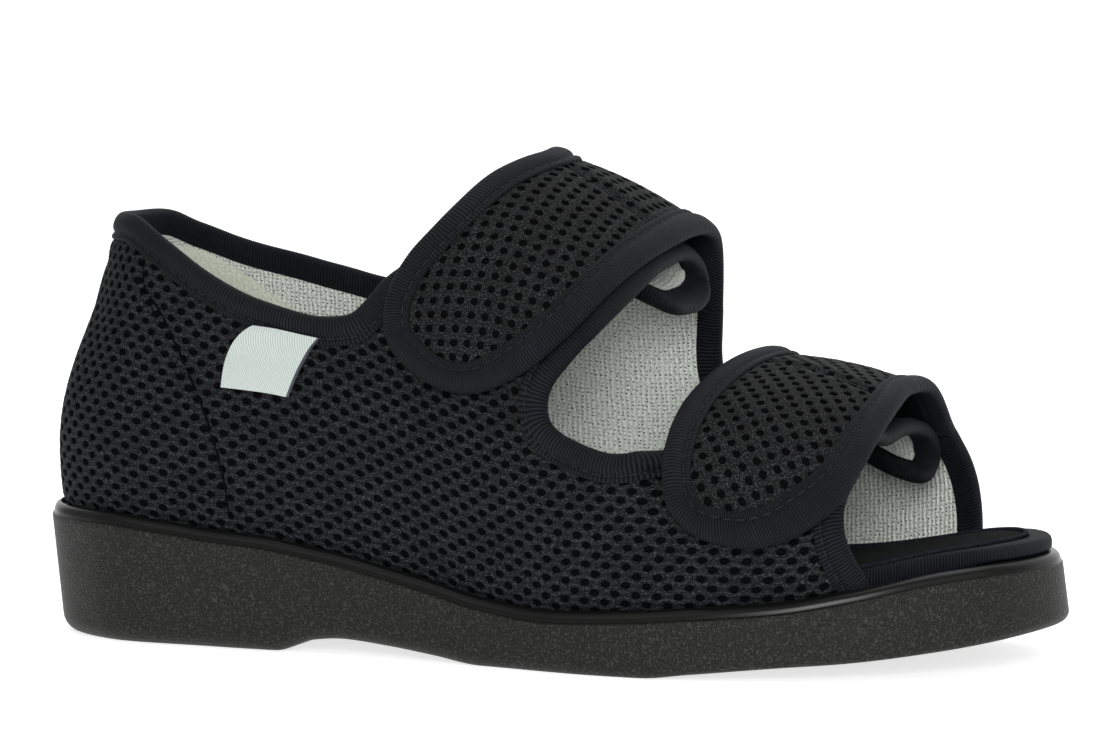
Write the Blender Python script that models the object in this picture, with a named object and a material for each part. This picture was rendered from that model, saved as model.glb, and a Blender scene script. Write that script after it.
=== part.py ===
"""A right-foot orthopaedic sandal with two hook and loop straps, open at the toe and the throat.

The shoe frame of the functions has x from the back of the heel towards the toe, y towards the
inner (medial) side and z up from the ground. An empty carries every piece and brings the
middle of the sole to the world origin. All lengths are in metres.
"""

import math

import bmesh
import bpy
import numpy as np
from mathutils import Vector
from mathutils.geometry import delaunay_2d_cdt

# Sole
LENGTH = 0.268
BALL_WIDTH = 0.096
HEEL_WIDTH = 0.0665
TOE_TIP = (0.987, 0.005)
SEAT_HEIGHT = 0.0332
FOREFOOT_HEIGHT = 0.0152
TOE_SPRING = 0.0096
ARCH_RISE = 0.0039
BOTTOM_RADIUS_HEEL = 0.0050
BOTTOM_RADIUS_TOE = 0.0022
DRAFT_HEEL = 0.0022
DRAFT_TOE = -0.0014
RIM_WIDTH = 0.0034
RIM_WIDTH_HEEL = 0.0024
RIM_HEIGHT = 0.0026
RIM_LEDGE = 0.0005
BED_DEPTH = 0.0018
BED_END = (0.895, 0.950)

# Lugs: straight slots across the tread
SLOT_DEPTH = 0.0014
SLOT_WIDTH = 0.0028
SLOT_PITCH = 0.0085
SLOT_MARGIN = 0.0085
HEEL_SLOTS = (0.125, 5)
FOREFOOT_SLOTS = (0.485, 11)

# Footbed
FOOTBED_INSET = 0.0073
FOOTBED_INSET_TOE = 0.0026
FOOTBED_RISE = 0.0037
FOOTBED_BINDING = 0.0058
FOOTBED_PAD = 0.0010
FOOTBED_SLOPE = 0.0060
FOOTBED_CROWN = 0.0120

# Upper and straps
SEAM_CLEARANCE = 0.0004
FACE_GAP = 0.0003
WALL = 0.0026
BINDING_WIDTH = 0.0068
BINDING_STEP = 0.0005
EDGE_ROUND = 0.0009
BULGE = 0.0016
BULGE_HEEL = 0.0029
BULGE_HEIGHT = 0.026
BACK_RISE = 0.073
BACK_LEAN = 0.0200
HEEL_TURN = 0.060
INSTEP_HEIGHT = 0.102
VAMP_HEIGHT = 0.067
STRAP_LIFT = 0.0047
STRAP_SETTLE = 0.030
TOE_SETTLE = 0.025

# Label
LABEL_SIZE = (0.0185, 0.0162)
LABEL_AT = (0.2490, 0.0536)
LABEL_SLANT = 0.0082
LABEL_THICKNESS = 0.0006

# Mesh pitch
OUTLINE_STEPS = 112
EDGE_PITCH = 0.0046
FACE_PITCH = 0.0078

# The sole in plan. Widths are shares of the width there, which goes from HEEL_WIDTH to
# BALL_WIDTH along the waist.
SOLE_PLAN = (
    # along, lateral, medial
    (0.020, 0.250, 0.250),
    (0.080, 0.440, 0.425),
    (0.200, 0.520, 0.485),
    (0.350, 0.522, 0.415),
    (0.490, 0.496, 0.374),
    (0.610, 0.524, 0.430),
    (0.720, 0.521, 0.474),
    (0.820, 0.453, 0.448),
    (0.900, 0.338, 0.384),
    (0.955, 0.205, 0.262),
)
WAIST_START, WAIST_END = 0.25, 0.60
THROAT_BACK, THROAT_FRONT = 0.60, 0.70

# The sole from the side. Seat and spring raise its top above FOREFOOT_HEIGHT, arch and lift
# raise its underside.
SOLE_SIDE = (
    # along, seat, spring, arch, lift
    (0.000, 1.00, 0.00, 0.00, 0.00),
    (0.090, 1.00, 0.00, 0.00, 0.00),
    (0.150, 0.92, 0.00, 0.00, 0.00),
    (0.205, 0.83, 0.00, 0.00, 0.00),
    (0.270, 0.75, 0.00, 0.00, 0.00),
    (0.310, 0.65, 0.00, 0.82, 0.00),
    (0.340, 0.58, 0.00, 1.00, 0.00),
    (0.390, 0.43, 0.00, 0.77, 0.00),
    (0.440, 0.28, 0.00, 0.40, 0.00),
    (0.490, 0.11, 0.00, 0.00, 0.00),
    (0.560, 0.00, 0.00, 0.00, 0.00),
    (0.655, 0.00, 0.12, 0.00, 0.00),
    (0.700, 0.00, 0.22, 0.00, 0.13),
    (0.780, 0.00, 0.40, 0.00, 0.34),
    (0.840, 0.00, 0.67, 0.00, 0.45),
    (0.910, 0.00, 1.05, 0.00, 0.66),
    (0.955, 0.00, 1.18, 0.00, 0.84),
    (1.000, 0.00, 1.22, 0.00, 1.05),
)

# Sections of the foot shape that the upper follows: the height of its ridge under the instep
# or the vamp, how far the ridge lies to the medial side, and how round the two sides are.
FOOT_SECTIONS = (
    # along, instep, vamp, ridge_side, lateral_round, medial_round, wall_square
    (0.00, 1.260, 0.000, 0.000, 2.4, 2.4, 3.2),
    (0.22, 1.260, 0.000, 0.000, 2.4, 2.4, 3.2),
    (0.36, 1.235, 0.000, 0.004, 2.2, 2.3, 3.4),
    (0.45, 1.190, 0.000, 0.009, 2.0, 2.3, 3.6),
    (0.50, 1.145, 0.000, 0.012, 1.9, 2.5, 3.8),
    (0.55, 1.085, 0.000, 0.013, 1.8, 2.6, 4.0),
    (0.62, 0.990, 0.000, 0.014, 1.8, 2.6, 4.0),
    (0.633, 0.968, 0.000, 0.014, 1.8, 2.6, 4.0),
    (0.640, 0.956, 0.000, 0.014, 1.8, 2.6, 4.0),
    (0.668, 0.000, 1.052, 0.010, 2.0, 2.3, 3.2),
    (0.676, 0.000, 1.047, 0.010, 2.0, 2.3, 3.2),
    (0.77, 0.000, 0.987, 0.008, 2.0, 2.3, 3.2),
    (0.84, 0.000, 0.938, 0.006, 2.0, 2.2, 3.0),
    (0.92, 0.000, 0.885, 0.006, 2.0, 2.2, 3.0),
    (1.00, 0.000, 0.840, 0.006, 2.0, 2.2, 3.0),
)
INSTEP_ROWS = 9

# The two flaps under the straps leave the foot shape and fold back inside. Rows give the outer
# face of the fold, to the medial side of the ridge and down from it, in height shares.
INSTEP_FOLD = (
    # side, below_ridge
    (-14.0, 3.0),
    (-4.5, 2.2),
    (3.0, 4.0),
    (7.4, 7.2),
    (8.6, 10.6),
    (7.0, 14.0),
    (3.0, 16.4),
    (-3.0, 17.7),
    (-11.0, 18.0),
    (-22.0, 17.0),
    (-34.0, 14.6),
)
TOE_FOLD = (
    # side, below_ridge
    (-16.0, 6.7),
    (-3.0, 5.9),
    (10.0, 6.9),
    (18.6, 9.6),
    (23.0, 13.6),
    (23.4, 17.2),
    (20.0, 20.4),
    (12.0, 22.4),
    (0.0, 23.2),
    (-18.0, 22.2),
    (-30.0, 19.8),
)
FOLD_START_INSTEP = -26.0
FOLD_START_TOE = -27.0

# The tables of edges and folds count heights in these shares of INSTEP_HEIGHT and VAMP_HEIGHT,
# and the straps' reach over the foot in these shares of BALL_WIDTH.
INSTEP_SHARES = 102.0
VAMP_SHARES = 67.0
WIDTH_SHARES = 96.0

# Edges of the upper. along is the share of LENGTH at the feather line, climb the distance up
# the face in height shares.
LATERAL_EDGE = (
    # along, climb
    (0.858, 0.0),
    (0.851, 4.5),
    (0.844, 8.5),
    (0.836, 15.0),
    (0.834, 21.0),
    (0.838, 28.0),
    (0.844, 37.0),
    (0.846, 48.0),
    (0.846, 70.0),
    (0.846, 100.0),
)
TOE_FLAP_END = (
    (0.840, 112.0),
    (0.820, 116.0),
    (0.735, 116.0),
    (0.715, 112.0),
)
THROAT_EDGE = (
    (0.709, 100.0),
    (0.709, 78.0),
    (0.706, 66.0),
    (0.698, 56.0),
    (0.686, 48.0),
    (0.674, 43.8),
    (0.660, 41.0),
    (0.645, 39.8),
    (0.625, 39.6),
    (0.608, 40.8),
    (0.590, 42.6),
    (0.572, 44.8),
    (0.560, 47.6),
    (0.556, 51.8),
    (0.561, 56.5),
    (0.571, 60.5),
    (0.584, 65.5),
    (0.597, 70.5),
    (0.608, 76.0),
    (0.619, 84.0),
    (0.626, 94.0),
    (0.628, 110.0),
    (0.628, 150.0),
)
INSTEP_FLAP_END = (
    (0.621, 160.0),
    (0.602, 165.0),
    (0.502, 165.0),
    (0.484, 160.0),
)
COLLAR_LATERAL = (
    (0.476, 150.0),
    (0.476, 118.0),
    (0.466, 104.0),
    (0.446, 92.0),
    (0.423, 83.0),
    (0.402, 77.5),
    (0.382, 72.0),
    (0.366, 66.0),
    (0.351, 61.5),
    (0.324, 59.2),
    (0.285, 59.0),
    (0.251, 60.5),
    (0.204, 65.0),
    (0.149, 71.6),
    (0.099, 76.4),
    (0.046, 78.2),
    (0.0144, 78.6),
)
COLLAR_MEDIAL = (
    (0.046, 76.5),
    (0.092, 71.8),
    (0.155, 68.3),
    (0.211, 66.5),
    (0.253, 64.6),
    (0.297, 63.4),
    (0.330, 64.0),
    (0.360, 67.5),
    (0.388, 74.5),
    (0.405, 79.6),
)
MEDIAL_THROAT = (
    (0.629, 67.2),
    (0.6265, 62.0),
    (0.6245, 56.5),
    (0.627, 49.0),
    (0.638, 42.5),
    (0.655, 39.5),
    (0.672, 40.0),
    (0.684, 43.5),
    (0.691, 47.3),
)
MEDIAL_FRONT = (
    (0.861, 34.3),
    (0.8650, 29.5),
    (0.8705, 24.5),
    (0.8765, 17.5),
    (0.880, 10.0),
    (0.881, 0.0),
)

# Strap outlines. along is the share of LENGTH of the section there, over the distance from the
# ridge in width shares, positive down the lateral side.
INSTEP_STRAP = (
    # along, over
    (0.405, -30.0),
    (0.430, -22.0),
    (0.458, -13.0),
    (0.478, -4.0),
    (0.482, 4.0),
    (0.474, 13.0),
    (0.460, 22.5),
    (0.446, 31.5),
    (0.429, 39.2),
    (0.411, 46.0),
    (0.398, 53.0),
    (0.393, 60.0),
    (0.399, 67.0),
    (0.416, 72.4),
    (0.442, 77.1),
    (0.468, 79.2),
    (0.493, 78.8),
    (0.521, 74.9),
    (0.552, 67.9),
    (0.580, 58.4),
    (0.603, 44.5),
    (0.617, 31.0),
    (0.626, 16.0),
    (0.629, 2.0),
    (0.631, -12.0),
    (0.631, -22.0),
    (0.629, -30.0),
)
TOE_STRAP = (
    (0.691, -25.0),
    (0.692, -14.0),
    (0.691, -4.0),
    (0.688, 6.0),
    (0.683, 18.0),
    (0.677, 30.0),
    (0.672, 41.0),
    (0.671, 50.0),
    (0.674, 60.0),
    (0.685, 68.0),
    (0.705, 71.8),
    (0.734, 72.0),
    (0.760, 69.9),
    (0.786, 65.4),
    (0.810, 58.2),
    (0.833, 49.0),
    (0.846, 38.0),
    (0.852, 28.0),
    (0.854, 16.0),
    (0.851, 4.0),
    (0.853, -7.0),
    (0.857, -16.0),
    (0.861, -25.0),
)


def smoothstep(t):
    """Ramp from 0 at 0 to 1 at 1."""
    t = np.clip(t, 0.0, 1.0)
    return t * t * (3.0 - 2.0 * t)


def follow(table, column, along):
    """Read a column of a section table between its rows, with no overshoot."""
    rows = np.array(table, float)
    xs, ys = rows[:, 0], rows[:, column]
    steps = np.diff(ys) / np.diff(xs)
    slopes = np.zeros(len(xs))
    before, after = steps[:-1], steps[1:]
    turning = before * after > 0
    slopes[1:-1][turning] = 2 * before[turning] * after[turning] / (before + after)[turning]
    slopes[0], slopes[-1] = steps[0], steps[-1]
    along = np.clip(along, xs[0], xs[-1])
    i = np.clip(np.searchsorted(xs, along) - 1, 0, len(xs) - 2)
    span = xs[i + 1] - xs[i]
    t = (along - xs[i]) / span
    rise = ys[i] * (1 + 2 * t) * (1 - t) ** 2 + ys[i + 1] * t * t * (3 - 2 * t)
    lean = slopes[i] * t * (1 - t) ** 2 + slopes[i + 1] * t * t * (t - 1)
    return rise + span * lean


def spline(points, count, closed=False):
    """Smooth curve through points, as count points evenly spaced along it."""
    points = np.asarray(points, float)
    if closed:
        points = np.vstack([points[-2:], points, points[:3]])
    chords = np.linalg.norm(np.diff(points, axis=0), axis=1)
    knots = np.concatenate([[0], np.cumsum(chords)])
    rates = np.diff(points, axis=0) / chords[:, None]
    near, far = chords[:-1, None], chords[1:, None]
    slopes = np.zeros_like(points)
    slopes[1:-1] = (far * rates[:-1] + near * rates[1:]) / (near + far)
    slopes[0], slopes[-1] = rates[0], rates[-1]
    low, high = (knots[2], knots[-3]) if closed else (knots[0], knots[-1])
    s = np.linspace(low, high, 40 * len(points))
    i = np.clip(np.searchsorted(knots, s, side="right") - 1, 0, len(chords) - 1)
    t = ((s - knots[i]) / chords[i])[:, None]
    dense = points[i] * (1 + 2 * t) * (1 - t) ** 2 + points[i + 1] * t * t * (3 - 2 * t)
    dense += chords[i][:, None] * (slopes[i] * t * (1 - t) ** 2 + slopes[i + 1] * t * t * (t - 1))
    arc = np.concatenate([[0], np.cumsum(np.linalg.norm(np.diff(dense, axis=0), axis=1))])
    wanted = np.linspace(0, arc[-1], count, endpoint=not closed)
    return np.column_stack([np.interp(wanted, arc, column) for column in dense.T])


def sole_outline(count):
    """Plan outline of the sole, from the heel along the lateral side, and its outward normals."""
    rows = np.array(SOLE_PLAN)
    widening = smoothstep((rows[:, 0] - WAIST_START) / (WAIST_END - WAIST_START))
    width = HEEL_WIDTH + (BALL_WIDTH - HEEL_WIDTH) * widening
    lateral = np.column_stack([rows[:, 0] * LENGTH, -rows[:, 1] * width])
    medial = np.column_stack([rows[:, 0] * LENGTH, rows[:, 2] * width])
    curve = spline(np.vstack([[0, 0], lateral, [TOE_TIP[0] * LENGTH, TOE_TIP[1]], medial[::-1]]), count, closed=True)
    ahead = np.roll(curve, -1, 0) - np.roll(curve, 1, 0)
    ahead /= np.linalg.norm(ahead, axis=1)[:, None]
    return curve, np.column_stack([ahead[:, 1], -ahead[:, 0]])


def sole_top(x):
    along = np.asarray(x) / LENGTH
    seat = (SEAT_HEIGHT - FOREFOOT_HEIGHT) * follow(SOLE_SIDE, 1, along)
    return FOREFOOT_HEIGHT + seat + TOE_SPRING * follow(SOLE_SIDE, 2, along)


def sole_bottom(x):
    along = np.asarray(x) / LENGTH
    return ARCH_RISE * follow(SOLE_SIDE, 3, along) + TOE_SPRING * follow(SOLE_SIDE, 4, along)


def rim_width(x):
    """Width of the smooth rim around the upper. It is narrower behind the heel."""
    return RIM_WIDTH_HEEL + (RIM_WIDTH - RIM_WIDTH_HEEL) * smoothstep(np.asarray(x) / (0.16 * LENGTH))


def bed_height(x):
    """Height of the sole under the footbed and the upper. Its recess runs out at the toe."""
    along = np.asarray(x) / LENGTH
    return sole_top(x) - BED_DEPTH * (1.0 - smoothstep((along - BED_END[0]) / (BED_END[1] - BED_END[0])))


def ridge_height(x, sections=FOOT_SECTIONS):
    """Height of the ridge of the foot above the ground."""
    along = np.asarray(x) / LENGTH
    return INSTEP_HEIGHT * follow(sections, 1, along) + VAMP_HEIGHT * follow(sections, 2, along)


def height_share(along):
    """Length of one height share: of the instep behind the throat, of the vamp before it."""
    forward = smoothstep((np.asarray(along) - THROAT_BACK) / (THROAT_FRONT - THROAT_BACK))
    instep, vamp = INSTEP_HEIGHT / INSTEP_SHARES, VAMP_HEIGHT / VAMP_SHARES
    return instep + (vamp - instep) * forward


def foot_section(base, turn, sections):
    """Points of the upper's outer face above a point of the feather line.

    turn goes from 0 at the feather line to 1 at the ridge of the foot.
    """
    bx, by = base
    along = bx / LENGTH
    foot = bed_height(bx) + FACE_GAP
    square = follow(sections, 6, along)
    roundness = follow(sections, 4 if by < 0 else 5, along)
    middle = follow(sections, 3, along)
    angle = turn * math.pi / 2
    rise = (ridge_height(bx, sections) - foot) * np.sin(angle) ** (2 / square)
    spread = np.abs(np.cos(angle)) ** (2 / roundness)
    heel = max(0.0, 1 - bx / HEEL_TURN)
    bulge = (BULGE + (BULGE_HEEL - BULGE) * heel) * np.sin(np.clip(rise / BULGE_HEIGHT, 0, 2) * math.pi / 2) ** 1.25
    lean = BACK_LEAN * (rise / BACK_RISE) ** 1.5 * heel**2
    outward = math.copysign(min(1.0, abs(by) / 0.02), by)
    return np.column_stack([bx + lean - bulge * heel, middle + (by - middle) * spread + outward * bulge, foot + rise])


def fold_path(section, x):
    """Replace the top of a lateral section by the fold of the flap there."""
    toe = x > 0.68 * LENGTH
    fold, start = (TOE_FOLD, FOLD_START_TOE) if toe else (INSTEP_FOLD, FOLD_START_INSTEP)
    share = height_share(x / LENGTH)
    rows = np.array(fold) * share
    top, middle = ridge_height(x), follow(FOOT_SECTIONS, 3, x / LENGTH)
    kept = section[section[:, 1] < middle + start * share]
    knee = kept[[-14, -8, -1]]
    guide = np.vstack([knee, np.column_stack([np.full(len(rows), x), middle + rows[:, 0], top - rows[:, 1]])])
    return np.vstack([kept[:-15], spline(guide, 160)])


class FootSurface:
    """The outer face of one side of the upper, read by along-the-feather and climb distances."""

    def __init__(self, side, folded=False, sections=FOOT_SECTIONS, columns=230, rows=330):
        curve, outward = sole_outline(400)
        feather = curve - outward * (rim_width(curve[:, 0]) + SEAM_CLEARANCE)[:, None]
        toe = int(np.argmax(feather[:, 0]))
        order = np.arange(0, toe + 1) if side < 0 else np.r_[0, np.arange(399, toe - 1, -1)]
        feather = feather[order]
        run = np.r_[0, np.cumsum(np.linalg.norm(np.diff(feather, axis=0), axis=1))]
        self.side = side
        self.run = np.linspace(0, run[-1], columns)
        self.base = np.column_stack([np.interp(self.run, run, feather[:, k]) for k in (0, 1)])
        self.base[0, 1] = side * 1e-6
        self.points = np.zeros((columns, rows, 3))
        self.climb = np.zeros(columns)
        turn = np.linspace(0, 1, 500) ** 1.6
        for k, base in enumerate(self.base):
            path = foot_section(base, turn, sections)
            if folded and 0.44 * LENGTH < base[0] < 0.90 * LENGTH:
                path = fold_path(path, base[0])
            arc = np.r_[0, np.cumsum(np.linalg.norm(np.diff(path, axis=0), axis=1))]
            wanted = np.linspace(0, arc[-1], rows)
            self.points[k] = np.column_stack([np.interp(wanted, arc, path[:, j]) for j in range(3)])
            self.climb[k] = arc[-1]

    def run_at(self, along):
        """Distance along the feather line to the point at a share of LENGTH."""
        return np.interp(np.asarray(along) * LENGTH, self.base[:, 0], self.run)

    def at(self, run, climb):
        """Points at distances along the feather line and up the face."""
        step = self.run[1]
        i = np.clip((run / step).astype(int), 0, len(self.run) - 2)
        a = np.clip(run / step - i, 0, 1)[:, None]
        length = self.climb[i] * (1 - a[:, 0]) + self.climb[i + 1] * a[:, 0]
        level = np.clip(climb / length, 0, 1) * (self.points.shape[1] - 1)
        j = np.clip(level.astype(int), 0, self.points.shape[1] - 2)
        b = (level - j)[:, None]
        low = self.points[i, j] * (1 - b) + self.points[i, j + 1] * b
        high = self.points[i + 1, j] * (1 - b) + self.points[i + 1, j + 1] * b
        return low * (1 - a) + high * a


class UpperSheet:
    """Both sides of the upper in one flat frame: run is negative on the lateral side."""

    def __init__(self):
        self.sides = {-1: FootSurface(-1, folded=True), 1: FootSurface(1)}

    def flat(self, side, rows):
        surface = self.sides[side]
        rows = np.array(rows, float)
        return np.column_stack([side * surface.run_at(rows[:, 0]), rows[:, 1] * height_share(rows[:, 0])])

    def points(self, flat):
        run, climb = flat[:, 0], flat[:, 1]
        lateral = self.sides[-1].at(np.abs(run), climb)
        medial = self.sides[1].at(np.abs(run), climb)
        return np.where((run < 0)[:, None], lateral, medial)

    def normals(self, flat):
        return -face_normals(self.points, flat, ((0.0008, 0), (0, 0.0006)), low=0.0)

    def hidden(self, flat):
        """Where the sole's recess leaves no room for the tape."""
        return flat[:, 1] < 0.0030


class StrapSheet:
    """A strap's outer face: x along the shoe, over from the ridge down the lateral side."""

    def __init__(self, settle, sections):
        self.sides = {side: FootSurface(side, sections=sections) for side in (-1, 1)}
        self.settle = settle

    def foot(self, flat):
        out = np.zeros((len(flat), 3))
        for side, mask in ((-1, flat[:, 1] >= 0), (1, flat[:, 1] < 0)):
            surface = self.sides[side]
            run = surface.run_at(flat[mask, 0] / LENGTH)
            top = np.interp(run, surface.run, surface.climb)
            out[mask] = surface.at(run, top - np.abs(flat[mask, 1]))
        return out

    def foot_normals(self, flat):
        return -face_normals(self.foot, flat, ((0.0010, 0), (0, 0.0010)))

    def points(self, flat):
        lift = STRAP_LIFT * smoothstep((flat[:, 1] + self.settle) / (0.72 * self.settle))
        return self.foot(flat) + self.foot_normals(flat) * lift[:, None]

    def normals(self, flat):
        return -face_normals(self.points, flat, ((0.0012, 0), (0, 0.0012)))

    def hidden(self, flat):
        return np.zeros(len(flat), bool)


def face_normals(points, flat, steps, low=None):
    """Unit normals of a sheet from small steps along its two flat directions."""
    (du, _), (_, dv) = steps
    ahead, behind = flat + [du, 0], flat - [du, 0]
    above, below = flat + [0, dv], flat - [0, dv]
    if low is not None:
        below[:, 1] = np.maximum(below[:, 1], low)
    cross = np.cross(points(ahead) - points(behind), points(above) - points(below))
    return cross / np.linalg.norm(cross, axis=1)[:, None]


def distance_to(points, path):
    """Shortest distance from each flat point to an open path."""
    best = np.full(len(points), 1e9)
    for a, b in zip(path[:-1], path[1:]):
        along = b - a
        t = np.clip(((points - a) @ along) / (along @ along), 0, 1)
        best = np.minimum(best, np.linalg.norm(points - a - t[:, None] * along, axis=1))
    return best


def inside(points, loop):
    """Whether flat points lie inside a closed loop."""
    x, y = points[:, 0], points[:, 1]
    result = np.zeros(len(points), bool)
    for (ax, ay), (bx, by) in zip(loop, np.roll(loop, -1, 0)):
        crosses = (ay > y) != (by > y)
        with np.errstate(divide="ignore", invalid="ignore"):
            result ^= crosses & (x < (bx - ax) * (y - ay) / (by - ay) + ax)
    return result


def flat_mesh(runs):
    """Triangulate a flat piece.

    runs is a list of (points, bound): the outline in pieces, bound where the tape covers it.
    Returns the flat points, the triangles, the outline's indices and the distance of each
    point from the bound edge.
    """
    outline, bound_paths = [], []
    for path, bound in runs:
        count = max(2, int(round(np.linalg.norm(np.diff(path, axis=0), axis=1).sum() / EDGE_PITCH)) + 1)
        smooth = spline(path, count) if len(path) > 2 else np.linspace(path[0], path[-1], count)
        outline.append(smooth[:-1])
        if bound:
            bound_paths.append(smooth)
    rim = np.vstack(outline)
    points = [rim]
    for path in bound_paths:
        ahead = np.gradient(path, axis=0)
        ahead /= np.linalg.norm(ahead, axis=1)[:, None]
        inward = np.column_stack([-ahead[:, 1], ahead[:, 0]])
        for depth in (EDGE_ROUND, BINDING_WIDTH, BINDING_WIDTH + 0.0005):
            row = path + inward * depth
            clear = np.min([distance_to(row, other) for other in bound_paths], axis=0) > depth - 0.0001
            clear &= inside(row, rim) & (distance_to(row, np.vstack([rim, rim[:1]])) > 0.0006)
            points.append(row[clear])
    low, high = rim.min(0), rim.max(0)
    lanes = np.arange(low[1], high[1], FACE_PITCH * 0.87)
    grid = np.array([(x + (k % 2) * FACE_PITCH / 2, y) for k, y in enumerate(lanes)
                     for x in np.arange(low[0], high[0], FACE_PITCH)])
    grid = grid[inside(grid, rim)]
    grid = grid[distance_to(grid, np.vstack([rim, rim[:1]])) > 0.0035]
    if bound_paths:
        grid = grid[np.min([distance_to(grid, p) for p in bound_paths], axis=0) > BINDING_WIDTH + 0.0035]
    cloud = np.vstack(points + [grid])
    count = len(rim)
    edges = [(k, (k + 1) % count) for k in range(count)]
    verts, _, faces, origin, _, _ = delaunay_2d_cdt([Vector(p) for p in cloud], edges, [], 1, 1e-7)
    flat = np.array([tuple(v) for v in verts])
    where = {}
    for new, olds in enumerate(origin):
        for old in olds:
            where.setdefault(old, new)
    loop = [where[k] for k in range(count)]
    reach = np.full(len(flat), 1.0)
    if bound_paths:
        reach = np.min([distance_to(flat, p) for p in bound_paths], axis=0)
    return flat, faces, loop, reach


def thick_sheet(sheet, runs):
    """Closed mesh of a sheet of wall thickness, raised where the binding tape covers its edges."""
    flat, faces, loop, reach = flat_mesh(runs)
    face, normal = sheet.points(flat), sheet.normals(flat)
    edge = reach < 0.0002
    taped = (reach < BINDING_WIDTH + 0.0002) & ~edge & ~sheet.hidden(flat)
    outer = np.where(edge, -EDGE_ROUND, np.where(taped, BINDING_STEP, 0.0))
    inner = -WALL + np.where(edge, EDGE_ROUND, np.where(taped, -0.5 * BINDING_STEP, 0.0))
    count = len(flat)
    points = np.vstack([face + normal * outer[:, None], face + normal * inner[:, None]])
    polygons = []
    for tri in faces:
        a, b, c = tri
        turn = np.cross(flat[b] - flat[a], flat[c] - flat[a])
        tri = tri if turn > 0 else (a, c, b)
        polygons.append(tuple(tri))
        polygons.append(tuple(count + k for k in reversed(tri)))
    for k, a in enumerate(loop):
        b = loop[(k + 1) % len(loop)]
        polygons.append((a, a + count, b + count, b))
    return points, polygons


def make_object(name, points, polygons, root):
    mesh = bpy.data.meshes.new(name)
    mesh.from_pydata([tuple(p) for p in points], [], [tuple(f) for f in polygons])
    work = bmesh.new()
    work.from_mesh(mesh)
    loose = [v for v in work.verts if not v.link_faces]
    bmesh.ops.delete(work, geom=loose, context="VERTS")
    bmesh.ops.recalc_face_normals(work, faces=work.faces)
    work.to_mesh(mesh)
    work.free()
    mesh.validate()
    item = bpy.data.objects.new(name, mesh)
    bpy.context.scene.collection.objects.link(item)
    item.parent = root
    return item


def ring_mesh(rings):
    """Join closed rings into a solid. Both ends are closed by rungs across the shoe."""
    count = len(rings[0])
    points = np.vstack(rings)
    polygons = []
    for k in range(len(rings) - 1):
        for i in range(count):
            j = (i + 1) % count
            polygons.append((k * count + i, k * count + j, (k + 1) * count + j, (k + 1) * count + i))
    half = count // 2
    for start, flip in ((0, False), ((len(rings) - 1) * count, True)):
        for i in range(half):
            left, right = (start + i, start + i + 1), (start + (count - i) % count, start + count - i - 1)
            face = [left[0], right[0], right[1], left[1]]
            face = list(dict.fromkeys(face))
            polygons.append(tuple(reversed(face)) if flip else tuple(face))
    return points, polygons


def make_outsole(root):
    plan, outward = sole_outline(OUTLINE_STEPS)

    def ring(offset, height):
        xy = plan - outward * np.broadcast_to(offset, len(plan))[:, None]
        return np.column_stack([xy, height(xy[:, 0])])

    toeward = smoothstep(plan[:, 0] / LENGTH)
    radius = BOTTOM_RADIUS_HEEL + (BOTTOM_RADIUS_TOE - BOTTOM_RADIUS_HEEL) * toeward
    draft = DRAFT_HEEL + (DRAFT_TOE - DRAFT_HEEL) * toeward
    rim = rim_width(plan[:, 0])
    rings = [
        ring(draft + radius, sole_bottom),
        ring(draft + 0.32 * radius, lambda x: sole_bottom(x) + 0.28 * radius),
        ring(draft, lambda x: sole_bottom(x) + radius),
        ring(0.0, lambda x: sole_top(x) - RIM_HEIGHT - 0.0006),
        ring(RIM_LEDGE, lambda x: sole_top(x) - RIM_HEIGHT),
        ring(0.55 * rim, lambda x: sole_top(x) - 0.35 * RIM_HEIGHT),
        ring(rim - 0.0002, sole_top),
        ring(rim + 0.0001, bed_height),
    ]
    outsole = make_object("outsole", *ring_mesh(rings), root)
    cut_slots(outsole)


def cut_slots(outsole):
    """Cut the slots between the lugs across the tread."""
    plan, outward = sole_outline(400)
    margin = plan - outward * SLOT_MARGIN
    toe = int(np.argmax(margin[:, 0]))
    lateral, medial = margin[: toe + 1], margin[toe:][::-1]
    work = bmesh.new()
    for first, count in (HEEL_SLOTS, FOREFOOT_SLOTS):
        for k in range(count):
            x = first * LENGTH + k * SLOT_PITCH
            low = np.interp(x, lateral[:, 0], lateral[:, 1])
            high = np.interp(x, medial[:, 0], medial[:, 1])
            floor = float(sole_bottom(x))
            box = bmesh.ops.create_cube(work, size=1.0)["verts"]
            for v in box:
                v.co.x = x + v.co.x * SLOT_WIDTH
                v.co.y = (low + high) / 2 + v.co.y * (high - low)
                v.co.z = floor + (SLOT_DEPTH if v.co.z > 0 else -3 * SLOT_DEPTH)
    mesh = bpy.data.meshes.new("slots")
    work.to_mesh(mesh)
    work.free()
    cutter = bpy.data.objects.new("slots", mesh)
    bpy.context.scene.collection.objects.link(cutter)
    cutter.parent = outsole.parent
    cut = outsole.modifiers.new("slots", "BOOLEAN")
    cut.operation = "DIFFERENCE"
    cut.solver = "EXACT"
    cut.object = cutter
    graph = bpy.context.evaluated_depsgraph_get()
    result = bpy.data.meshes.new_from_object(outsole.evaluated_get(graph))
    outsole.modifiers.clear()
    outsole.data = result
    bpy.data.objects.remove(cutter, do_unlink=True)


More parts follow.
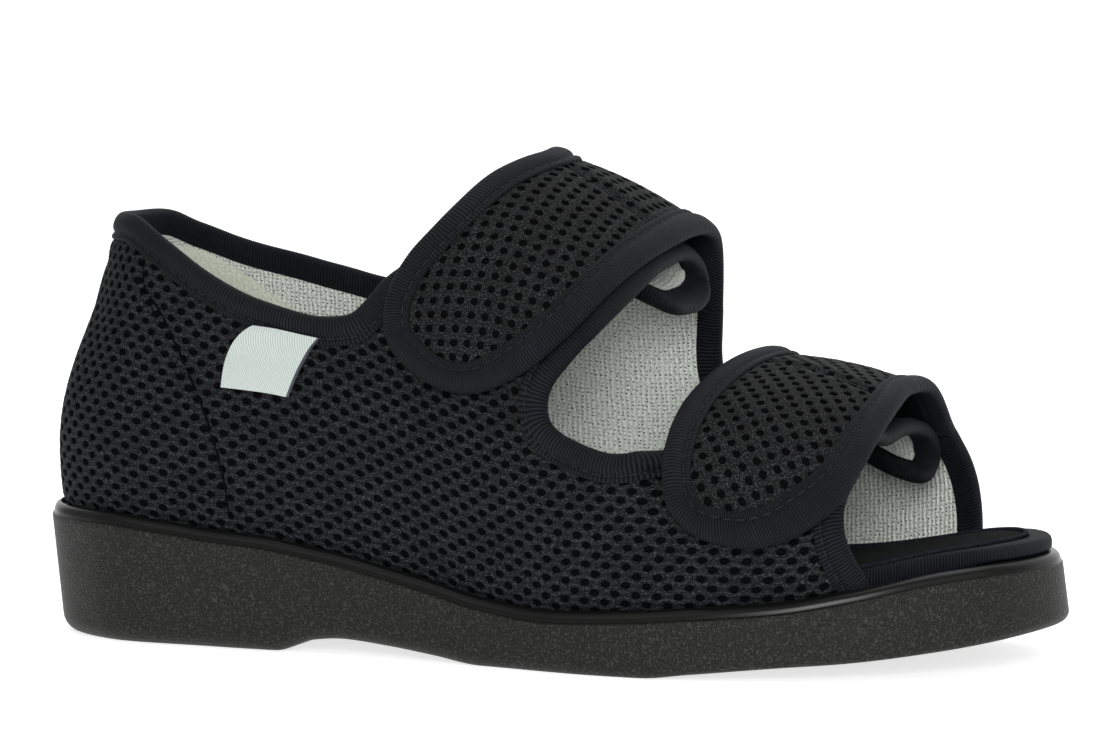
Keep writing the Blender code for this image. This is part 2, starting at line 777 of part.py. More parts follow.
def make_footbed(root):
    plan, outward = sole_outline(OUTLINE_STEPS)
    reach = smoothstep((plan[:, 0] / LENGTH - BED_END[0]) / (TOE_TIP[0] - BED_END[0]))
    inset = FOOTBED_INSET - RIM_WIDTH + rim_width(plan[:, 0])
    inset = (inset + (FOOTBED_INSET_TOE - inset) * reach)[:, None]

    def ring(offset, height, floor=sole_top):
        xy = plan - outward * (inset + offset)
        return np.column_stack([xy, floor(xy[:, 0]) + height])

    top = FOOTBED_RISE
    rings = [
        ring(0.0007, FACE_GAP, bed_height),
        ring(0.0, FACE_GAP + 0.0008, bed_height),
        ring(0.0, top - 0.0012),
        ring(0.0004, top - 0.0004),
        ring(0.0013, top),
        ring(FOOTBED_BINDING, top),
        ring(FOOTBED_BINDING + 0.0003, top - 0.0005),
        ring(FOOTBED_BINDING + FOOTBED_SLOPE, top + FOOTBED_PAD - 0.0004),
        ring(FOOTBED_BINDING + FOOTBED_CROWN, top + FOOTBED_PAD),
    ]
    make_object("insole", *ring_mesh(rings), root)


def make_upper(root):
    sheet = UpperSheet()
    lateral, medial = sheet.sides[-1], sheet.sides[1]
    back = sheet.flat(-1, COLLAR_LATERAL[-1:])
    back[0, 0] = 0.0
    around_toe_flap = np.vstack([LATERAL_EDGE, TOE_FLAP_END, THROAT_EDGE, INSTEP_FLAP_END, COLLAR_LATERAL[:-1]])
    free = np.vstack([sheet.flat(-1, around_toe_flap), back, sheet.flat(1, COLLAR_MEDIAL)])

    def butt(strap, settle, low, high):
        """Where the medial wall meets a strap, just short of it."""
        along = np.linspace(low, high, 9)
        run = medial.run_at(along)
        top = np.interp(run, medial.run, medial.climb)
        return np.column_stack([run, top - settle - FACE_GAP])

    instep = butt(INSTEP_STRAP, STRAP_SETTLE, COLLAR_MEDIAL[-1][0], MEDIAL_THROAT[0][0])
    toe = butt(TOE_STRAP, TOE_SETTLE, MEDIAL_THROAT[-1][0], MEDIAL_FRONT[0][0])
    throat = sheet.flat(1, MEDIAL_THROAT)
    front = sheet.flat(1, MEDIAL_FRONT)
    free[-1] = instep[0]
    throat[0], throat[-1] = instep[-1], toe[0]
    front[0] = toe[-1]
    foot = np.array([front[-1], free[0]])
    runs = [(free, True), (instep, False), (throat, True), (toe, False), (front, True), (foot, False)]
    runs = [(path[::-1], bound) for path, bound in reversed(runs)]
    make_object("upper", *thick_sheet(sheet, runs), root)


def make_strap(name, rows, settle, sections, root):
    sheet = StrapSheet(settle, sections)
    rows = np.array(rows, float)
    edge = np.column_stack([rows[:, 0] * LENGTH, rows[:, 1] * BALL_WIDTH / WIDTH_SHARES])
    along = np.linspace(edge[-1, 0], edge[0, 0], 9)
    butt = np.column_stack([along, np.full(9, -settle)])
    edge[0], edge[-1] = butt[-1], butt[0]
    runs = [(butt[::-1], False), (edge[::-1], True)]
    make_object(name, *thick_sheet(sheet, runs), root)


def make_label(root):
    """A bare woven label that hangs from the collar's binding."""
    sheet = UpperSheet()
    width, height = LABEL_SIZE
    across, down = np.meshgrid(np.linspace(0, 1, 9), np.linspace(0, 1, 6))
    run = (across - 1) * width + down * LABEL_SLANT - sheet.sides[-1].run_at(LABEL_AT[0])
    climb = LABEL_AT[1] - down * height
    flat = np.column_stack([run.ravel(), climb.ravel()])
    face, normal = sheet.points(flat), sheet.normals(flat)
    under = FACE_GAP + (BINDING_STEP + 0.0001) * (1 - smoothstep(down.ravel() / 0.45 - 0.2))
    points = np.vstack([face + normal * (under + LABEL_THICKNESS)[:, None], face + normal * under[:, None]])
    rows, columns = across.shape
    count = rows * columns
    polygons = []
    for r in range(rows - 1):
        for c in range(columns - 1):
            a = r * columns + c
            quad = (a, a + 1, a + columns + 1, a + columns)
            polygons.append(quad)
            polygons.append(tuple(count + k for k in reversed(quad)))
    rim = list(range(columns)) + [columns * r - 1 for r in range(2, rows + 1)]
    rim += [(rows - 1) * columns + c for c in range(columns - 2, -1, -1)] + [r * columns for r in range(rows - 2, 0, -1)]
    for k, a in enumerate(rim):
        b = rim[(k + 1) % len(rim)]
        polygons.append((a, b, b + count, a + count))
    make_object("label", points, polygons, root)


def main():
    for item in list(bpy.data.objects):
        bpy.data.objects.remove(item, do_unlink=True)
    root = bpy.data.objects.new("shoe", None)
    bpy.context.scene.collection.objects.link(root)
    plan, _ = sole_outline(400)
    middle = (plan.min(0) + plan.max(0)) / 2
    root.location = (-middle[0], -middle[1], 0.0)
    make_outsole(root)
    make_footbed(root)
    make_upper(root)
    make_strap("instep_strap", INSTEP_STRAP, STRAP_SETTLE, FOOT_SECTIONS[:INSTEP_ROWS], root)
    make_strap("toe_strap", TOE_STRAP, TOE_SETTLE, FOOT_SECTIONS[INSTEP_ROWS:], root)
    make_label(root)
    bpy.context.view_layer.update()


main()
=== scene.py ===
"""Looks of a right comfort sandal with two hook and loop straps.

The shapes are worked out in the shoe's own frame: x from the back of the heel to the toe, y to
the inner side of the foot and z up from the floor, in metres. Each finished mesh is then moved to
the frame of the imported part. Cloth is laid out flat first, as a maker cuts it, and then wrapped
over the foot.
"""

import logging
import math
from dataclasses import dataclass
from enum import Enum
from typing import Any, Callable, Optional, Sequence

import bmesh
import bpy
import numpy as np
from mathutils import Matrix, Vector
from mathutils.geometry import delaunay_2d_cdt

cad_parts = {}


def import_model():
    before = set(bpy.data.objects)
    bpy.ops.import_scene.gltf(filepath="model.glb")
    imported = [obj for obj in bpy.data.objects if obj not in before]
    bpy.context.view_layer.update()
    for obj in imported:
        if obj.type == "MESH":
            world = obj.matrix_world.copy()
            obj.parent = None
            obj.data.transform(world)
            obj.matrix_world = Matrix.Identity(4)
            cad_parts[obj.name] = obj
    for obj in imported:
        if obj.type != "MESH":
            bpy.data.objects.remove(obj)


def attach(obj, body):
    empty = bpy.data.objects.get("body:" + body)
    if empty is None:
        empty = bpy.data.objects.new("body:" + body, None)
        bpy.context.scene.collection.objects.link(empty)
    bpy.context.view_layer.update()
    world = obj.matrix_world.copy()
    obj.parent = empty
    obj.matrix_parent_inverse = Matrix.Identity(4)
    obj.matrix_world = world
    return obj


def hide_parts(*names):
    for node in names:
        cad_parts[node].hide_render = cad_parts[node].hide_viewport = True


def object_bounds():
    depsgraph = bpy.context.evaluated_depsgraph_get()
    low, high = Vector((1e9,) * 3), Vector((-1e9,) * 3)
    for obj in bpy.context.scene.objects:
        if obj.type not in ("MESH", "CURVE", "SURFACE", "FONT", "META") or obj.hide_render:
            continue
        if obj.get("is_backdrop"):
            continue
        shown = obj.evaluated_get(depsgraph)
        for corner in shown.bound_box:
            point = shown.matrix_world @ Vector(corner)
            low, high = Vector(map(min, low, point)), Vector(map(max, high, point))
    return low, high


LOG = logging.getLogger("sandal")
Rows = Sequence[Sequence[float]]
Faces = list[tuple[int, ...]]
Array = np.ndarray
MM = 0.001
# Points of the sole's outline where it carries the cloth
OUTLINE = 400
# How far in from an edge the tape ends, and the cloth sinks beside it
TAPE_END = 0.0068
# How far down the inner side each strap is joined to the upper
INSTEP_SETTLE, TOE_SETTLE = 0.030, 0.025
# The two steps from a hole of the upper's mesh to its neighbours, in millimetres
MESH_ROW = (2.50, 2.50)
MESH_COLUMN = (-2.90, 2.05)


# Curves and tables

def smoothstep(t: Any) -> Array:
    """Ramp from 0 at 0 to 1 at 1."""
    t = np.clip(t, 0.0, 1.0)
    return t * t * (3.0 - 2.0 * t)


def follow(table: Rows, column: int, along: Any) -> Array:
    """Read a column of a section table between its rows, with no overshoot.

    Args:
        table: rows whose first number is the share of the shoe's length.
        column: which number of a row to read.
        along: shares of the length to read it at.

    Returns:
        The values there.
    """
    rows = np.array(table, float)
    xs, ys = rows[:, 0], rows[:, column]
    steps = np.diff(ys) / np.diff(xs)
    slopes = np.zeros(len(xs))
    before, after = steps[:-1], steps[1:]
    turning = before * after > 0
    slopes[1:-1][turning] = 2 * before[turning] * after[turning] / (before + after)[turning]
    slopes[0], slopes[-1] = steps[0], steps[-1]
    along = np.clip(along, xs[0], xs[-1])
    i = np.clip(np.searchsorted(xs, along) - 1, 0, len(xs) - 2)
    span = xs[i + 1] - xs[i]
    t = (along - xs[i]) / span
    rise = ys[i] * (1 + 2 * t) * (1 - t) ** 2 + ys[i + 1] * t * t * (3 - 2 * t)
    return rise + span * (slopes[i] * t * (1 - t) ** 2 + slopes[i + 1] * t * t * (t - 1))


def spline(points: Any, count: int, closed: bool = False) -> Array:
    """Smooth curve through points.

    Args:
        points: the points that it passes.
        count: how many points to give back, evenly spaced.
        closed: whether it comes back to its start.

    Returns:
        The points of the curve.
    """
    points = np.asarray(points, float)
    if closed:
        points = np.vstack([points[-2:], points, points[:3]])
    chords = np.linalg.norm(np.diff(points, axis=0), axis=1)
    knots = np.concatenate([[0], np.cumsum(chords)])
    rates = np.diff(points, axis=0) / chords[:, None]
    near, far = chords[:-1, None], chords[1:, None]
    slopes = np.zeros_like(points)
    slopes[1:-1] = (far * rates[:-1] + near * rates[1:]) / (near + far)
    slopes[0], slopes[-1] = rates[0], rates[-1]
    low, high = (knots[2], knots[-3]) if closed else (knots[0], knots[-1])
    s = np.linspace(low, high, 40 * len(points))
    i = np.clip(np.searchsorted(knots, s, side="right") - 1, 0, len(chords) - 1)
    t = ((s - knots[i]) / chords[i])[:, None]
    dense = points[i] * (1 + 2 * t) * (1 - t) ** 2 + points[i + 1] * t * t * (3 - 2 * t)
    dense += chords[i][:, None] * (slopes[i] * t * (1 - t) ** 2 + slopes[i + 1] * t * t * (t - 1))
    arc = arc_length(dense)
    wanted = np.linspace(0, arc[-1], count, endpoint=not closed)
    return read_path(dense, arc, wanted)


def arc_length(path: Array) -> Array:
    """Distance along a path to each of its points."""
    return np.r_[0, np.cumsum(np.linalg.norm(np.diff(path, axis=0), axis=1))]


def read_path(path: Array, arc: Array, wanted: Array) -> Array:
    """Points of a path at distances along it."""
    return np.column_stack([np.interp(wanted, arc, column) for column in path.T])


def bell(distance: Any, width: float) -> Array:
    """A soft rise of height 1 at a distance of 0, about as wide as twice its width."""
    return np.exp(-((distance / width) ** 2))


def distance_to(points: Array, path: Array) -> Array:
    """Shortest distance from each flat point to an open path.

    Args:
        points: the flat points.
        path: the points of the path.

    Returns:
        The distances.
    """
    best = np.full(len(points), 1e9)
    for a, b in zip(path[:-1], path[1:]):
        along = b - a
        t = np.clip(((points - a) @ along) / max(along @ along, 1e-18), 0, 1)
        best = np.minimum(best, np.linalg.norm(points - a - t[:, None] * along, axis=1))
    return best


def inside(points: Array, loop: Array) -> Array:
    """Whether flat points lie inside a closed loop.

    Args:
        points: the flat points.
        loop: the points of the loop.

    Returns:
        Which of them do.
    """
    x, y = points[:, 0], points[:, 1]
    result = np.zeros(len(points), bool)
    for (ax, ay), (bx, by) in zip(loop, np.roll(loop, -1, 0)):
        crosses = (ay > y) != (by > y)
        with np.errstate(divide="ignore", invalid="ignore"):
            result ^= crosses & (x < (bx - ax) * (y - ay) / (by - ay) + ax)
    return result


def inward_of(path: Array) -> Array:
    """Unit normals to the left of a flat path, which is the side of the cloth.

    Args:
        path: the points of the path.

    Returns:
        The normals.
    """
    ahead = np.gradient(path, axis=0)
    ahead /= np.linalg.norm(ahead, axis=1)[:, None]
    return np.column_stack([-ahead[:, 1], ahead[:, 0]])


# The sole and the foot shape

@dataclass(frozen=True)
class SoleForm:
    """Outline and side of the moulded sole."""

    length: float = 0.268
    ball_width: float = 0.096
    heel_width: float = 0.0665
    toe_tip: tuple[float, float] = (0.987, 0.005)
    seat_height: float = 0.0332
    forefoot_height: float = 0.0152
    toe_spring: float = 0.0096
    arch_rise: float = 0.0039
    rim_width: float = 0.0034
    rim_width_heel: float = 0.0024
    bed_depth: float = 0.0018
    bed_end: tuple[float, float] = (0.895, 0.950)
    waist: tuple[float, float] = (0.25, 0.60)
    plan: Rows = (
        # along, lateral, medial
        (0.020, 0.250, 0.250),
        (0.080, 0.440, 0.425),
        (0.200, 0.520, 0.485),
        (0.350, 0.522, 0.415),
        (0.490, 0.496, 0.374),
        (0.610, 0.524, 0.430),
        (0.720, 0.521, 0.474),
        (0.820, 0.453, 0.448),
        (0.900, 0.338, 0.384),
        (0.955, 0.205, 0.262),
    )
    side: Rows = (
        # along, seat, spring, arch, lift
        (0.000, 1.00, 0.00, 0.00, 0.00),
        (0.090, 1.00, 0.00, 0.00, 0.00),
        (0.150, 0.92, 0.00, 0.00, 0.00),
        (0.205, 0.83, 0.00, 0.00, 0.00),
        (0.270, 0.75, 0.00, 0.00, 0.00),
        (0.310, 0.65, 0.00, 0.82, 0.00),
        (0.340, 0.58, 0.00, 1.00, 0.00),
        (0.390, 0.43, 0.00, 0.77, 0.00),
        (0.440, 0.28, 0.00, 0.40, 0.00),
        (0.490, 0.11, 0.00, 0.00, 0.00),
        (0.560, 0.00, 0.00, 0.00, 0.00),
        (0.655, 0.00, 0.12, 0.00, 0.00),
        (0.700, 0.00, 0.22, 0.00, 0.13),
        (0.780, 0.00, 0.40, 0.00, 0.34),
        (0.840, 0.00, 0.67, 0.00, 0.45),
        (0.910, 0.00, 1.05, 0.00, 0.66),
        (0.955, 0.00, 1.18, 0.00, 0.84),
        (1.000, 0.00, 1.22, 0.00, 1.05),
    )

    def outline(self, count: int) -> tuple[Array, Array]:
        """Plan outline from the heel along the outer side, and its outward normals.

        Args:
            count: how many points.

        Returns:
            The points and the normals.
        """
        rows = np.array(self.plan)
        start, end = self.waist
        reach = smoothstep((rows[:, 0] - start) / (end - start))
        width = self.heel_width + (self.ball_width - self.heel_width) * reach
        outer = np.column_stack([rows[:, 0] * self.length, -rows[:, 1] * width])
        inner = np.column_stack([rows[:, 0] * self.length, rows[:, 2] * width])
        tip = [self.toe_tip[0] * self.length, self.toe_tip[1]]
        curve = spline(np.vstack([[0, 0], outer, tip, inner[::-1]]), count, closed=True)
        ahead = np.roll(curve, -1, 0) - np.roll(curve, 1, 0)
        ahead /= np.linalg.norm(ahead, axis=1)[:, None]
        return curve, np.column_stack([ahead[:, 1], -ahead[:, 0]])

    def middle(self) -> Array:
        """The shoe frame's place in the part's frame, with the sign turned."""
        plan = self.outline(OUTLINE)[0]
        return np.append((plan.min(0) + plan.max(0)) / 2, 0.0)

    def top(self, x: Any) -> Array:
        """Height of the rim.

        Args:
            x: distances from the back of the heel.

        Returns:
            The heights.
        """
        along = np.asarray(x) / self.length
        seat = (self.seat_height - self.forefoot_height) * follow(self.side, 1, along)
        return self.forefoot_height + seat + self.toe_spring * follow(self.side, 2, along)

    def bottom(self, x: Any) -> Array:
        """Height of the tread above the floor.

        Args:
            x: distances from the back of the heel.

        Returns:
            The heights.
        """
        along = np.asarray(x) / self.length
        arch, lift = follow(self.side, 3, along), follow(self.side, 4, along)
        return self.arch_rise * arch + self.toe_spring * lift

    def rim(self, x: Any) -> Array:
        """Width of the smooth rim around the upper."""
        reach = smoothstep(np.asarray(x) / (0.16 * self.length))
        return self.rim_width_heel + (self.rim_width - self.rim_width_heel) * reach

    def bed(self, x: Any) -> Array:
        """Height of the recess under the footbed.

        Args:
            x: distances from the back of the heel.

        Returns:
            The heights.
        """
        along = np.asarray(x) / self.length
        start, end = self.bed_end
        return self.top(x) - self.bed_depth * (1.0 - smoothstep((along - start) / (end - start)))


@dataclass(frozen=True)
class FootForm:
    """The foot shape that the upper and the straps follow."""

    sole: SoleForm = SoleForm()
    face_gap: float = 0.0003
    seam_clearance: float = 0.0004
    bulge: float = 0.0016
    bulge_heel: float = 0.0029
    bulge_height: float = 0.026
    back_rise: float = 0.073
    back_lean: float = 0.0200
    heel_turn: float = 0.060
    instep_height: float = 0.102
    vamp_height: float = 0.067
    instep_rows: int = 9
    sections: Rows = (
        # along, instep, vamp, ridge_side, lateral_round, medial_round, wall_square
        (0.00, 1.260, 0.000, 0.000, 2.4, 2.4, 3.2),
        (0.22, 1.260, 0.000, 0.000, 2.4, 2.4, 3.2),
        (0.36, 1.235, 0.000, 0.004, 2.2, 2.3, 3.4),
        (0.45, 1.190, 0.000, 0.009, 2.0, 2.3, 3.6),
        (0.50, 1.145, 0.000, 0.012, 1.9, 2.5, 3.8),
        (0.55, 1.085, 0.000, 0.013, 1.8, 2.6, 4.0),
        (0.62, 0.990, 0.000, 0.014, 1.8, 2.6, 4.0),
        (0.633, 0.968, 0.000, 0.014, 1.8, 2.6, 4.0),
        (0.640, 0.956, 0.000, 0.014, 1.8, 2.6, 4.0),
        (0.668, 0.000, 1.052, 0.010, 2.0, 2.3, 3.2),
        (0.676, 0.000, 1.047, 0.010, 2.0, 2.3, 3.2),
        (0.77, 0.000, 0.987, 0.008, 2.0, 2.3, 3.2),
        (0.84, 0.000, 0.938, 0.006, 2.0, 2.2, 3.0),
        (0.92, 0.000, 0.885, 0.006, 2.0, 2.2, 3.0),
        (1.00, 0.000, 0.840, 0.006, 2.0, 2.2, 3.0),
    )
    instep_fold: Rows = (
        # side, below the ridge, in millimetres
        (-14.0, 3.0), (-4.5, 2.2), (3.0, 4.0), (7.4, 7.2), (8.6, 10.6), (7.0, 14.0),
        (3.0, 16.4), (-3.0, 17.7), (-11.0, 18.0), (-22.0, 17.0), (-34.0, 14.6),
    )
    toe_fold: Rows = (
        (-16.0, 6.7), (-3.0, 5.9), (10.0, 6.9), (18.6, 9.6), (23.0, 13.6), (23.4, 17.2),
        (20.0, 20.4), (12.0, 22.4), (0.0, 23.2), (-18.0, 22.2), (-30.0, 19.8),
    )
    fold_start_instep: float = -0.0260
    fold_start_toe: float = -0.0270
    # Shares of the length between which the flaps lie, and where the toe flap takes over
    flaps: tuple[float, float] = (0.44, 0.90)
    toe_flap: float = 0.68
    # Over this distance from the shoe's middle line the swell of the back turns to the side
    swell_turn: float = 0.02

    def ridge(self, x: Any, sections: Rows) -> Array:
        """Height of the ridge of the foot above the floor.

        Args:
            x: distances from the back of the heel.
            sections: the section table to follow.

        Returns:
            The heights.
        """
        along = np.asarray(x) / self.sole.length
        instep, vamp = follow(sections, 1, along), follow(sections, 2, along)
        return self.instep_height * instep + self.vamp_height * vamp

    def section(self, base: Array, turn: Array, sections: Rows) -> Array:
        """Points of the outer face above a point of the feather line.

        Args:
            base: the point of the feather line, x and y.
            turn: from 0 at the feather line to 1 at the ridge.
            sections: the section table to follow.

        Returns:
            Points in the shoe frame.
        """
        bx, by = base
        along = bx / self.sole.length
        foot = self.sole.bed(bx) + self.face_gap
        square = follow(sections, 6, along)
        roundness = follow(sections, 4 if by < 0 else 5, along)
        middle = follow(sections, 3, along)
        angle = turn * math.pi / 2
        rise = (self.ridge(bx, sections) - foot) * np.sin(angle) ** (2 / square)
        spread = np.abs(np.cos(angle)) ** (2 / roundness)
        heel = max(0.0, 1 - bx / self.heel_turn)
        swell = self.bulge + (self.bulge_heel - self.bulge) * heel
        swell = swell * np.sin(np.clip(rise / self.bulge_height, 0, 2) * math.pi / 2) ** 1.25
        lean = self.back_lean * (rise / self.back_rise) ** 1.5 * heel**2
        outward = math.copysign(min(1.0, abs(by) / self.swell_turn), by)
        side = middle + (by - middle) * spread + outward * swell
        return np.column_stack([bx + lean - swell * heel, side, foot + rise])

    def fold(self, section: Array, x: float) -> Array:
        """Replace the top of an outer section by the flap that folds back inside.

        Args:
            section: the section up the outer face.
            x: its distance from the back of the heel.

        Returns:
            The section with its flap.
        """
        fold, start = self.instep_fold, self.fold_start_instep
        if x > self.toe_flap * self.sole.length:
            fold, start = self.toe_fold, self.fold_start_toe
        rows = np.array(fold) * MM
        top, middle = self.ridge(x, self.sections), follow(self.sections, 3, x / self.sole.length)
        kept = section[section[:, 1] < middle + start]
        knee = kept[[-14, -8, -1]]
        flap = np.column_stack([np.full(len(rows), x), middle + rows[:, 0], top - rows[:, 1]])
        guide = np.vstack([knee, flap])
        return np.vstack([kept[:-15], spline(guide, 160)])


class FootSurface:
    """The outer face of one side, read by distances along the feather line and up the face."""

    COLUMNS, ROWS, DENSE, CROWDING = 230, 330, 500, 1.6

    def __init__(
        self, form: FootForm, side: int, folded: bool = False, sections: Optional[Rows] = None
    ) -> None:
        """Work out the face's points.

        Args:
            form: the foot shape.
            side: -1 for the outer side, 1 for the inner side.
            folded: whether the flaps under the straps fold back.
            sections: the section table to follow.
        """
        sections = sections or form.sections
        curve, outward = form.sole.outline(OUTLINE)
        feather = curve - outward * (form.sole.rim(curve[:, 0]) + form.seam_clearance)[:, None]
        toe = int(np.argmax(feather[:, 0]))
        outer, inner = np.arange(0, toe + 1), np.r_[0, np.arange(OUTLINE - 1, toe - 1, -1)]
        feather = feather[outer if side < 0 else inner]
        run = arc_length(feather)
        self.length = form.sole.length
        self.run = np.linspace(0, run[-1], self.COLUMNS)
        self.base = read_path(feather, run, self.run)
        self.base[0, 1] = side * 1e-6
        self.points = np.zeros((self.COLUMNS, self.ROWS, 3))
        self.climb = np.zeros(self.COLUMNS)
        turn = np.linspace(0, 1, self.DENSE) ** self.CROWDING
        first, last = (share * self.length for share in form.flaps)
        for k, base in enumerate(self.base):
            path = form.section(base, turn, sections)
            if folded and first < base[0] < last:
                path = form.fold(path, base[0])
            arc = arc_length(path)
            self.points[k] = read_path(path, arc, np.linspace(0, arc[-1], self.ROWS))
            self.climb[k] = arc[-1]

    def run_at(self, along: Any) -> Array:
        """Distance along the feather line to the point at a share of the length."""
        return np.interp(np.asarray(along) * self.length, self.base[:, 0], self.run)

    def at(self, run: Array, climb: Array) -> Array:
        """Points at distances along the feather line and up the face.

        Args:
            run: distances along the feather line.
            climb: distances up the face.

        Returns:
            The points.
        """
        step = self.run[1]
        i = np.clip((run / step).astype(int), 0, len(self.run) - 2)
        a = np.clip(run / step - i, 0, 1)[:, None]
        length = self.climb[i] * (1 - a[:, 0]) + self.climb[i + 1] * a[:, 0]
        level = np.clip(climb / length, 0, 1) * (self.points.shape[1] - 1)
        j = np.clip(level.astype(int), 0, self.points.shape[1] - 2)
        b = (level - j)[:, None]
        low = self.points[i, j] * (1 - b) + self.points[i, j + 1] * b
        high = self.points[i + 1, j] * (1 - b) + self.points[i + 1, j + 1] * b
        return low * (1 - a) + high * a


def normals_over(surface: Callable[[Array], Array], flat: Array, step: float) -> Array:
    """Outward unit normals of a wrapped surface, from points a step away on each side.

    Args:
        surface: gives the points of the surface at flat points.
        flat: the flat points.
        step: how far apart to feel the surface.

    Returns:
        The normals.
    """
    along = surface(flat + [step, 0]) - surface(flat - [step, 0])
    up = surface(flat + [0, step]) - surface(flat - [0, step])
    cross = np.cross(along, up)
    return -cross / np.maximum(np.linalg.norm(cross, axis=1), 1e-15)[:, None]


class Sheet:
    """Cloth in a flat frame, wrapped over the foot."""

    FEEL = 0.0009

    def points(self, flat: Array) -> Array:
        """Points of the outer face at flat points."""
        raise NotImplementedError

    def limit(self, flat: Array) -> Array:
        """Flat points brought back to the sheet's plain edges."""
        return flat

    def normals(self, flat: Array) -> Array:
        """Outward unit normals at flat points."""
        return normals_over(self.points, flat, self.FEEL)

    def place(self, flat: Array, height: Any) -> Array:
        """Points at heights above the outer face."""
        return self.points(flat) + self.normals(flat) * np.broadcast_to(height, len(flat))[:, None]


class UpperSheet(Sheet):
    """Both sides of the upper: run is negative on the outer side, climb goes up the face."""

    # A joint holds the cloth this far past its ends, above this height on the face
    JOINT_REACH, JOINT_FLOOR = 0.004, 0.02

    def __init__(self, form: FootForm) -> None:
        """Work out both faces of a foot form."""
        self.sides = {-1: FootSurface(form, -1, folded=True), 1: FootSurface(form, 1)}
        self.joints: list[Array] = []

    def flat(self, side: int, rows: Rows) -> Array:
        """Flat points of table rows on a side."""
        table = np.array(rows, float)
        return np.column_stack([side * self.sides[side].run_at(table[:, 0]), table[:, 1] * MM])

    def points(self, flat: Array) -> Array:
        """Points of the outer face at flat points.

        Args:
            flat: the flat points.

        Returns:
            The points.
        """
        run, climb = flat[:, 0], np.maximum(flat[:, 1], 0.0)
        outer = self.sides[-1].at(np.abs(run), climb)
        inner = self.sides[1].at(np.abs(run), climb)
        return np.where((run < 0)[:, None], outer, inner)

    def limit(self, flat: Array) -> Array:
        """Keep points above the feather line and below the joints with the straps.

        Args:
            flat: the flat points.

        Returns:
            The flat points, moved where they have to be.
        """
        flat = flat.copy()
        flat[:, 1] = np.maximum(flat[:, 1], 0.0)
        for joint in self.joints:
            near = (flat[:, 0] > joint[0, 0] - self.JOINT_REACH) & (flat[:, 1] > self.JOINT_FLOOR)
            near &= flat[:, 0] < joint[-1, 0] + self.JOINT_REACH
            top = np.interp(flat[near, 0], joint[:, 0], joint[:, 1])
            flat[near, 1] = np.minimum(flat[near, 1], top)
        return flat


class StrapSheet(Sheet):
    """A strap: x along the shoe, over from the ridge down the outer side."""

    # How far the strap reaches past its joint, over what share of its way there it settles, and
    # how far apart its foot shape is felt
    OVERLAP, SETTLING, FOOT_FEEL = 0.0004, 0.72, 0.0010

    def __init__(
        self, form: FootForm, settle: float, sections: Rows, lift: float = 0.0047
    ) -> None:
        """Work out the strap's face.

        Args:
            form: the foot shape.
            settle: how far down the inner side the strap lies on the foot shape.
            sections: the section table to follow.
            lift: how far the strap stands off over the flap under it.
        """
        self.faces = {side: FootSurface(form, side, sections=sections) for side in (-1, 1)}
        self.settle, self.lift, self.length = settle, lift, form.sole.length

    def foot(self, flat: Array) -> Array:
        """Points of the foot shape under the strap.

        Args:
            flat: the flat points.

        Returns:
            The points.
        """
        out = np.zeros((len(flat), 3))
        for side, mask in ((-1, flat[:, 1] >= 0), (1, flat[:, 1] < 0)):
            face = self.faces[side]
            run = face.run_at(flat[mask, 0] / self.length)
            top = np.interp(run, face.run, face.climb)
            out[mask] = face.at(run, top - np.abs(flat[mask, 1]))
        return out

    def points(self, flat: Array) -> Array:
        """Points of the outer face at flat points.

        Args:
            flat: the flat points.

        Returns:
            The points.
        """
        normal = normals_over(self.foot, flat, self.FOOT_FEEL)
        lift = self.lift * smoothstep((flat[:, 1] + self.settle) / (self.SETTLING * self.settle))
        return self.foot(flat) + normal * lift[:, None]

    def limit(self, flat: Array) -> Array:
        """Keep points on the strap's side of its joint with the upper."""
        return np.column_stack([flat[:, 0], np.maximum(flat[:, 1], -self.settle - self.OVERLAP)])


# Materials

MATH, MIX, RANGE = "ShaderNodeMath", "ShaderNodeMix", "ShaderNodeMapRange"
NOISE, CELLS, MAPPING = "ShaderNodeTexNoise", "ShaderNodeTexVoronoi", "ShaderNodeMapping"
SPLIT, JOIN = "ShaderNodeSeparateXYZ", "ShaderNodeCombineXYZ"
# Where a pattern lies: on the flat cloth, in millimetres, or on the object, in metres
CLOTH, PLACE = "ShaderNodeUVMap", "ShaderNodeTexCoord"
TIMES, PLUS, MINUS = {"operation": "MULTIPLY"}, {"operation": "ADD"}, {"operation": "SUBTRACT"}
SCALED, MOST = {"operation": "MULTIPLY_ADD"}, {"operation": "MAXIMUM"}
SMOOTH = {"interpolation_type": "SMOOTHSTEP"}
# A noise's scale counts its grains: in a millimetre on the cloth, and in a metre on the object
PER_MM = 1000.0


def linear(code: str) -> tuple[float, float, float, float]:
    """Turn an sRGB hex colour into a linear one.

    Args:
        code: the colour, as six digits.

    Returns:
        Its three parts and 1.
    """
    parts = [int(code.lstrip("#")[k : k + 2], 16) / 255 for k in (0, 2, 4)]
    values = [v / 12.92 if v <= 0.04045 else ((v + 0.055) / 1.055) ** 2.4 for v in parts]
    return (values[0], values[1], values[2], 1.0)


def feed(tree: Any, socket: Any, value: Any) -> None:
    """Give a socket a value, another socket's output or a node's first output.

    Args:
        tree: the node tree.
        socket: the input that it feeds.
        value: what it gets.
    """
    if isinstance(value, bpy.types.Node):
        value = value.outputs[0]
    if isinstance(value, bpy.types.NodeSocket):
        tree.links.new(value, socket)
    else:
        socket.default_value = value


def add(tree: Any, kind: str, inputs: Any = (), **settings: Any) -> Any:
    """Add a node with its settings and its inputs.

    Args:
        tree: the node tree.
        kind: the node's type name.
        inputs: what feeds its sockets, in their order or by name or number.
        settings: attributes of the node.

    Returns:
        The node.
    """
    node = tree.nodes.new(kind)
    for name, value in settings.items():
        setattr(node, name, value)
    for key, value in inputs.items() if isinstance(inputs, dict) else enumerate(inputs):
        feed(tree, node.inputs[key], value)
    return node


